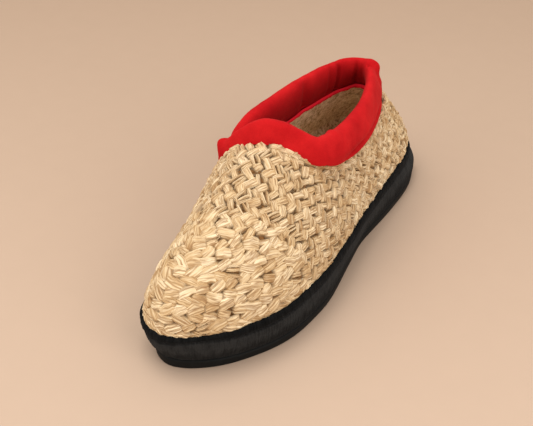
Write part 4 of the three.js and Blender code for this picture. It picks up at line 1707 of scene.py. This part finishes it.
def stitch_piece():
    """The seam that holds the binding to the platform."""
    ring = wall_ring(1, -STITCH_OUT, SEAM_Z + STITCH_UP)
    ring[:, 2] += seam_shift(ring)
    line = looped(ring)
    run = run_lengths(line)
    plan = StrawPlan(sizes().weave_seed)
    pitch = sizes().stitch_pitch / MM
    for at in np.arange(0, run[-1], pitch):
        place = on_line(at, run, line)
        along = unit(on_line((at + 1) % run[-1], run, line) - place)
        normal = unit(np.array([-along[1], along[0], 0]))
        plan.add(place, along, normal, (STITCH_SHARE * pitch, STITCH_THICK, STITCH_THICK), 0)
    stitches = grow(plan.cloud("binding_stitches"), [stitch_object()], thread_material(), STITCH_SEED)
    settle(stitches, "binding_cloth")


# Stage.

CAMERA_PLACE = np.array([254.5, -450.6, 418.4])
CAMERA_TILT = 52.99
CAMERA_TURN = 31.25
CAMERA_LENS = 66.65
CAMERA_SENSOR = 36
FLOOR_HALF = 3.0
ROOM_COLOUR = (1.0, 0.95, 0.885)
ROOM_STRENGTH = 0.8
# Names of the soft lights, their places and aims in metres, sizes, watts and colours.
LIGHTS = (
    ("key_light", (-0.22, -0.2, 1.35), (0, -0.05, 0.05), 0.8, 9.4, (1.0, 0.97, 0.92)),
    ("front_fill", (-0.55, -1.0, 0.5), (0, -0.1, 0.03), 0.9, 3.0, (1.0, 0.97, 0.94)),
    ("side_fill", (1.05, -0.35, 0.75), (0, 0.06, 0.05), 0.8, 5.8, (1.0, 0.97, 0.94)),
)


def add_area_light(name, place, target, size, watts, colour):
    """A square soft light that faces a point."""
    data = bpy.data.lights.new(name, "AREA")
    data.shape = "SQUARE"
    data.size = size
    data.energy = watts
    data.color = colour
    light = linked(name, data)
    light.location = place
    light.rotation_euler = (Vector(target) - Vector(place)).to_track_quat("-Z", "Y").to_euler()


def stage_pieces():
    """Floor, soft lights and the camera at the photograph's angle."""
    scene = bpy.context.scene
    mesh = bpy.data.meshes.new("floor")
    corners = [(x * FLOOR_HALF, y * FLOOR_HALF, 0) for x, y in ((-1, -1), (1, -1), (1, 1), (-1, 1))]
    mesh.from_pydata(corners, [], [[0, 1, 2, 3]])
    mesh.materials.append(floor_material())
    floor = linked("floor", mesh)
    world = bpy.data.worlds.new("soft_room")
    world.use_nodes = True
    background = world.node_tree.nodes["Background"]
    background.inputs["Color"].default_value = (*ROOM_COLOUR, 1)
    background.inputs["Strength"].default_value = ROOM_STRENGTH
    scene.world = world
    for light in LIGHTS:
        add_area_light(*light)
    scene.view_settings.view_transform = "Standard"
    data = bpy.data.cameras.new("camera")
    data.lens = CAMERA_LENS
    data.sensor_width = CAMERA_SENSOR
    camera = linked("camera", data)
    camera.location = ((CAMERA_PLACE + SHIFT) * MM).tolist()
    camera.rotation_euler = (math.radians(CAMERA_TILT), 0, math.radians(CAMERA_TURN))
    scene.camera = camera


# Properties, operators and panel.

def tone(name, description, default):
    """A colour that a user may change."""
    return FloatVectorProperty(
        name=name, description=description, default=default, subtype="COLOR", size=3, min=0, max=1
    )


def measure(name, description, default, unit_kind="LENGTH"):
    """A length in metres or an angle that a user may change."""
    return FloatProperty(name=name, description=description, default=default, unit=unit_kind)


class StrawShoeColours(bpy.types.PropertyGroup):
    """Colours of the shoe and its floor."""

    straw_cream: tone("Straw cream", "Lit ridges of the straw", (0.87, 0.71, 0.477))
    straw_body: tone("Straw body", "Most of the straw", (0.66, 0.475, 0.265))
    straw_tan: tone("Straw tan", "Duller strips and shallow folds", (0.48, 0.292, 0.127))
    straw_line: tone("Straw line", "Thin brown lines along the fibres", (0.28, 0.135, 0.044))
    # Also painted shade in the creases and, with the pit colour, on the wall under the strips.
    straw_fold_and_shade: tone("Straw fold", "Orange-brown fold lines", (0.29, 0.14, 0.05))
    # Painted shade in the pits, on the strands laid there, on the wall under the strips and at the strips'
    # edges and ends.
    straw_pit_shade: tone("Straw pit", "Pits between the strips", (0.075, 0.034, 0.011))
    velvet: tone("Velvet", "Lit nap of the collar", (0.60, 0.013, 0.015))
    # Painted highlight on the turned hem, brighter than the rest of the velvet.
    velvet_hem_highlight: tone("Velvet hem", "The turned edge inside the opening", (0.78, 0.014, 0.032))
    velvet_deep: tone("Velvet deep", "Nap brushed away from the light", (0.39, 0.004, 0.007))
    # Painted shade on the roll's inner side, inside the opening.
    velvet_inside_shade: tone("Velvet inside", "Nap that lies down inside the opening", (0.19, 0.002, 0.003))
    felt: tone("Felt", "Lining and footbed", (0.74, 0.55, 0.35))
    felt_dark: tone("Felt dark", "Hollows of the felt", (0.29, 0.185, 0.095))
    felt_pale: tone("Felt pale", "Loose fibres of the felt", (0.95, 0.82, 0.6))
    platform_deep: tone("Platform deep", "Ribs in the platform cloth", (0.0022, 0.0022, 0.0022))
    # Dusty nap, and the colour of the painted highlight high on the platform's wall.
    platform_dust_and_highlight: tone("Platform worn", "Dusty nap of the platform cloth", (0.027, 0.0272, 0.0274))
    binding_deep: tone("Binding deep", "Shaded binding tape", (0.0018, 0.0019, 0.0021))
    binding_worn: tone("Binding worn", "Raised threads of the binding tape", (0.0145, 0.0149, 0.0152))
    rubber: tone("Rubber", "Outsole", (0.0055, 0.0058, 0.0058))
    rubber_scuff: tone("Rubber scuff", "Scuffs on the outsole", (0.013, 0.0125, 0.012))
    floor: tone("Floor", "Plain pale floor", (0.575, 0.43, 0.33))
    # Painted shade toward the back of the floor, where the lights fall off.
    floor_back_shade: tone("Floor back", "The floor further from the camera", (0.45, 0.32, 0.233))


class StrawShoeSizes(bpy.types.PropertyGroup):
    """Sizes of the weave and the seams."""

    weave_along: measure("Weave along", "Lattice step along the shoe", 0.0066)
    weave_up: measure("Weave up", "Lattice step up the wall", 0.0056)
    weave_turn: measure("Weave turn", "Turn of the lengthwise strips", math.radians(27), "ROTATION")
    weave_cross: measure("Weave cross", "Turn of the crosswise strips", math.radians(49), "ROTATION")
    weave_seed: IntProperty(name="Weave seed", description="Chance changes of the strips", default=4)
    split_share: FloatProperty(
        name="Split share", description="Share of the floats split into strands", default=0.32, min=0, max=1
    )
    stitch_pitch: measure("Stitch pitch", "Distance from stitch to stitch", 0.0046)


class ShoeOperator(bpy.types.Operator):
    """Shared by the operators that add pieces of the shoe."""

    bl_options = {"REGISTER", "UNDO"}
    build = None

    def execute(self, context):
        type(self).build()
        return {"FINISHED"}


class STRAWSHOE_OT_straw(ShoeOperator):
    """Lay the straw strips over their wall"""

    bl_idname = "straw_shoe.straw"
    bl_label = "Straw"
    build = staticmethod(straw_pieces)


class STRAWSHOE_OT_collar(ShoeOperator):
    """Pad the red velvet collar"""

    bl_idname = "straw_shoe.collar"
    bl_label = "Collar"
    build = staticmethod(collar_piece)


class STRAWSHOE_OT_lining(ShoeOperator):
    """Line the upper with felt"""

    bl_idname = "straw_shoe.lining"
    bl_label = "Lining"
    build = staticmethod(lining_piece)


class STRAWSHOE_OT_insole(ShoeOperator):
    """Lay the felt footbed"""

    bl_idname = "straw_shoe.insole"
    bl_label = "Insole"
    build = staticmethod(insole_piece)


class STRAWSHOE_OT_platform(ShoeOperator):
    """Cover the platform with cloth"""

    bl_idname = "straw_shoe.platform"
    bl_label = "Platform"
    build = staticmethod(platform_piece)


class STRAWSHOE_OT_outsole(ShoeOperator):
    """Add the rubber outsole"""

    bl_idname = "straw_shoe.outsole"
    bl_label = "Outsole"
    build = staticmethod(outsole_piece)


class STRAWSHOE_OT_binding(ShoeOperator):
    """Wrap the binding tape round the platform's top"""

    bl_idname = "straw_shoe.binding"
    bl_label = "Binding"
    build = staticmethod(binding_piece)


class STRAWSHOE_OT_stitches(ShoeOperator):
    """Sew the binding down"""

    bl_idname = "straw_shoe.stitches"
    bl_label = "Stitches"
    build = staticmethod(stitch_piece)


class STRAWSHOE_OT_stage(ShoeOperator):
    """Set the floor, lights and camera"""

    bl_idname = "straw_shoe.stage"
    bl_label = "Stage"
    build = staticmethod(stage_pieces)


OPERATORS = (
    STRAWSHOE_OT_straw,
    STRAWSHOE_OT_collar,
    STRAWSHOE_OT_lining,
    STRAWSHOE_OT_insole,
    STRAWSHOE_OT_platform,
    STRAWSHOE_OT_outsole,
    STRAWSHOE_OT_binding,
    STRAWSHOE_OT_stitches,
    STRAWSHOE_OT_stage,
)


class STRAWSHOE_PT_panel(bpy.types.Panel):
    """Lists the pieces of the shoe"""

    bl_idname = "STRAWSHOE_PT_panel"
    bl_label = "Straw shoe"
    bl_space_type = "VIEW_3D"
    bl_region_type = "UI"
    bl_category = "Straw shoe"

    def draw(self, context):
        for operator in OPERATORS:
            self.layout.operator(operator.bl_idname)
        for group in (context.scene.straw_shoe_sizes, context.scene.straw_shoe_colours):
            for name in group.__annotations__:
                self.layout.prop(group, name)


CLASSES = (StrawShoeColours, StrawShoeSizes, *OPERATORS, STRAWSHOE_PT_panel)


def register():
    for item in CLASSES:
        bpy.utils.register_class(item)
    bpy.types.Scene.straw_shoe_colours = PointerProperty(type=StrawShoeColours)
    bpy.types.Scene.straw_shoe_sizes = PointerProperty(type=StrawShoeSizes)


def unregister():
    del bpy.types.Scene.straw_shoe_sizes
    del bpy.types.Scene.straw_shoe_colours
    for item in reversed(CLASSES):
        bpy.utils.unregister_class(item)


def main():
    """Builds every piece in order."""
    register()
    for operator in OPERATORS:
        group, name = operator.bl_idname.split(".")
        getattr(getattr(bpy.ops, group), name)()


if __name__ == "__main__":
    main()
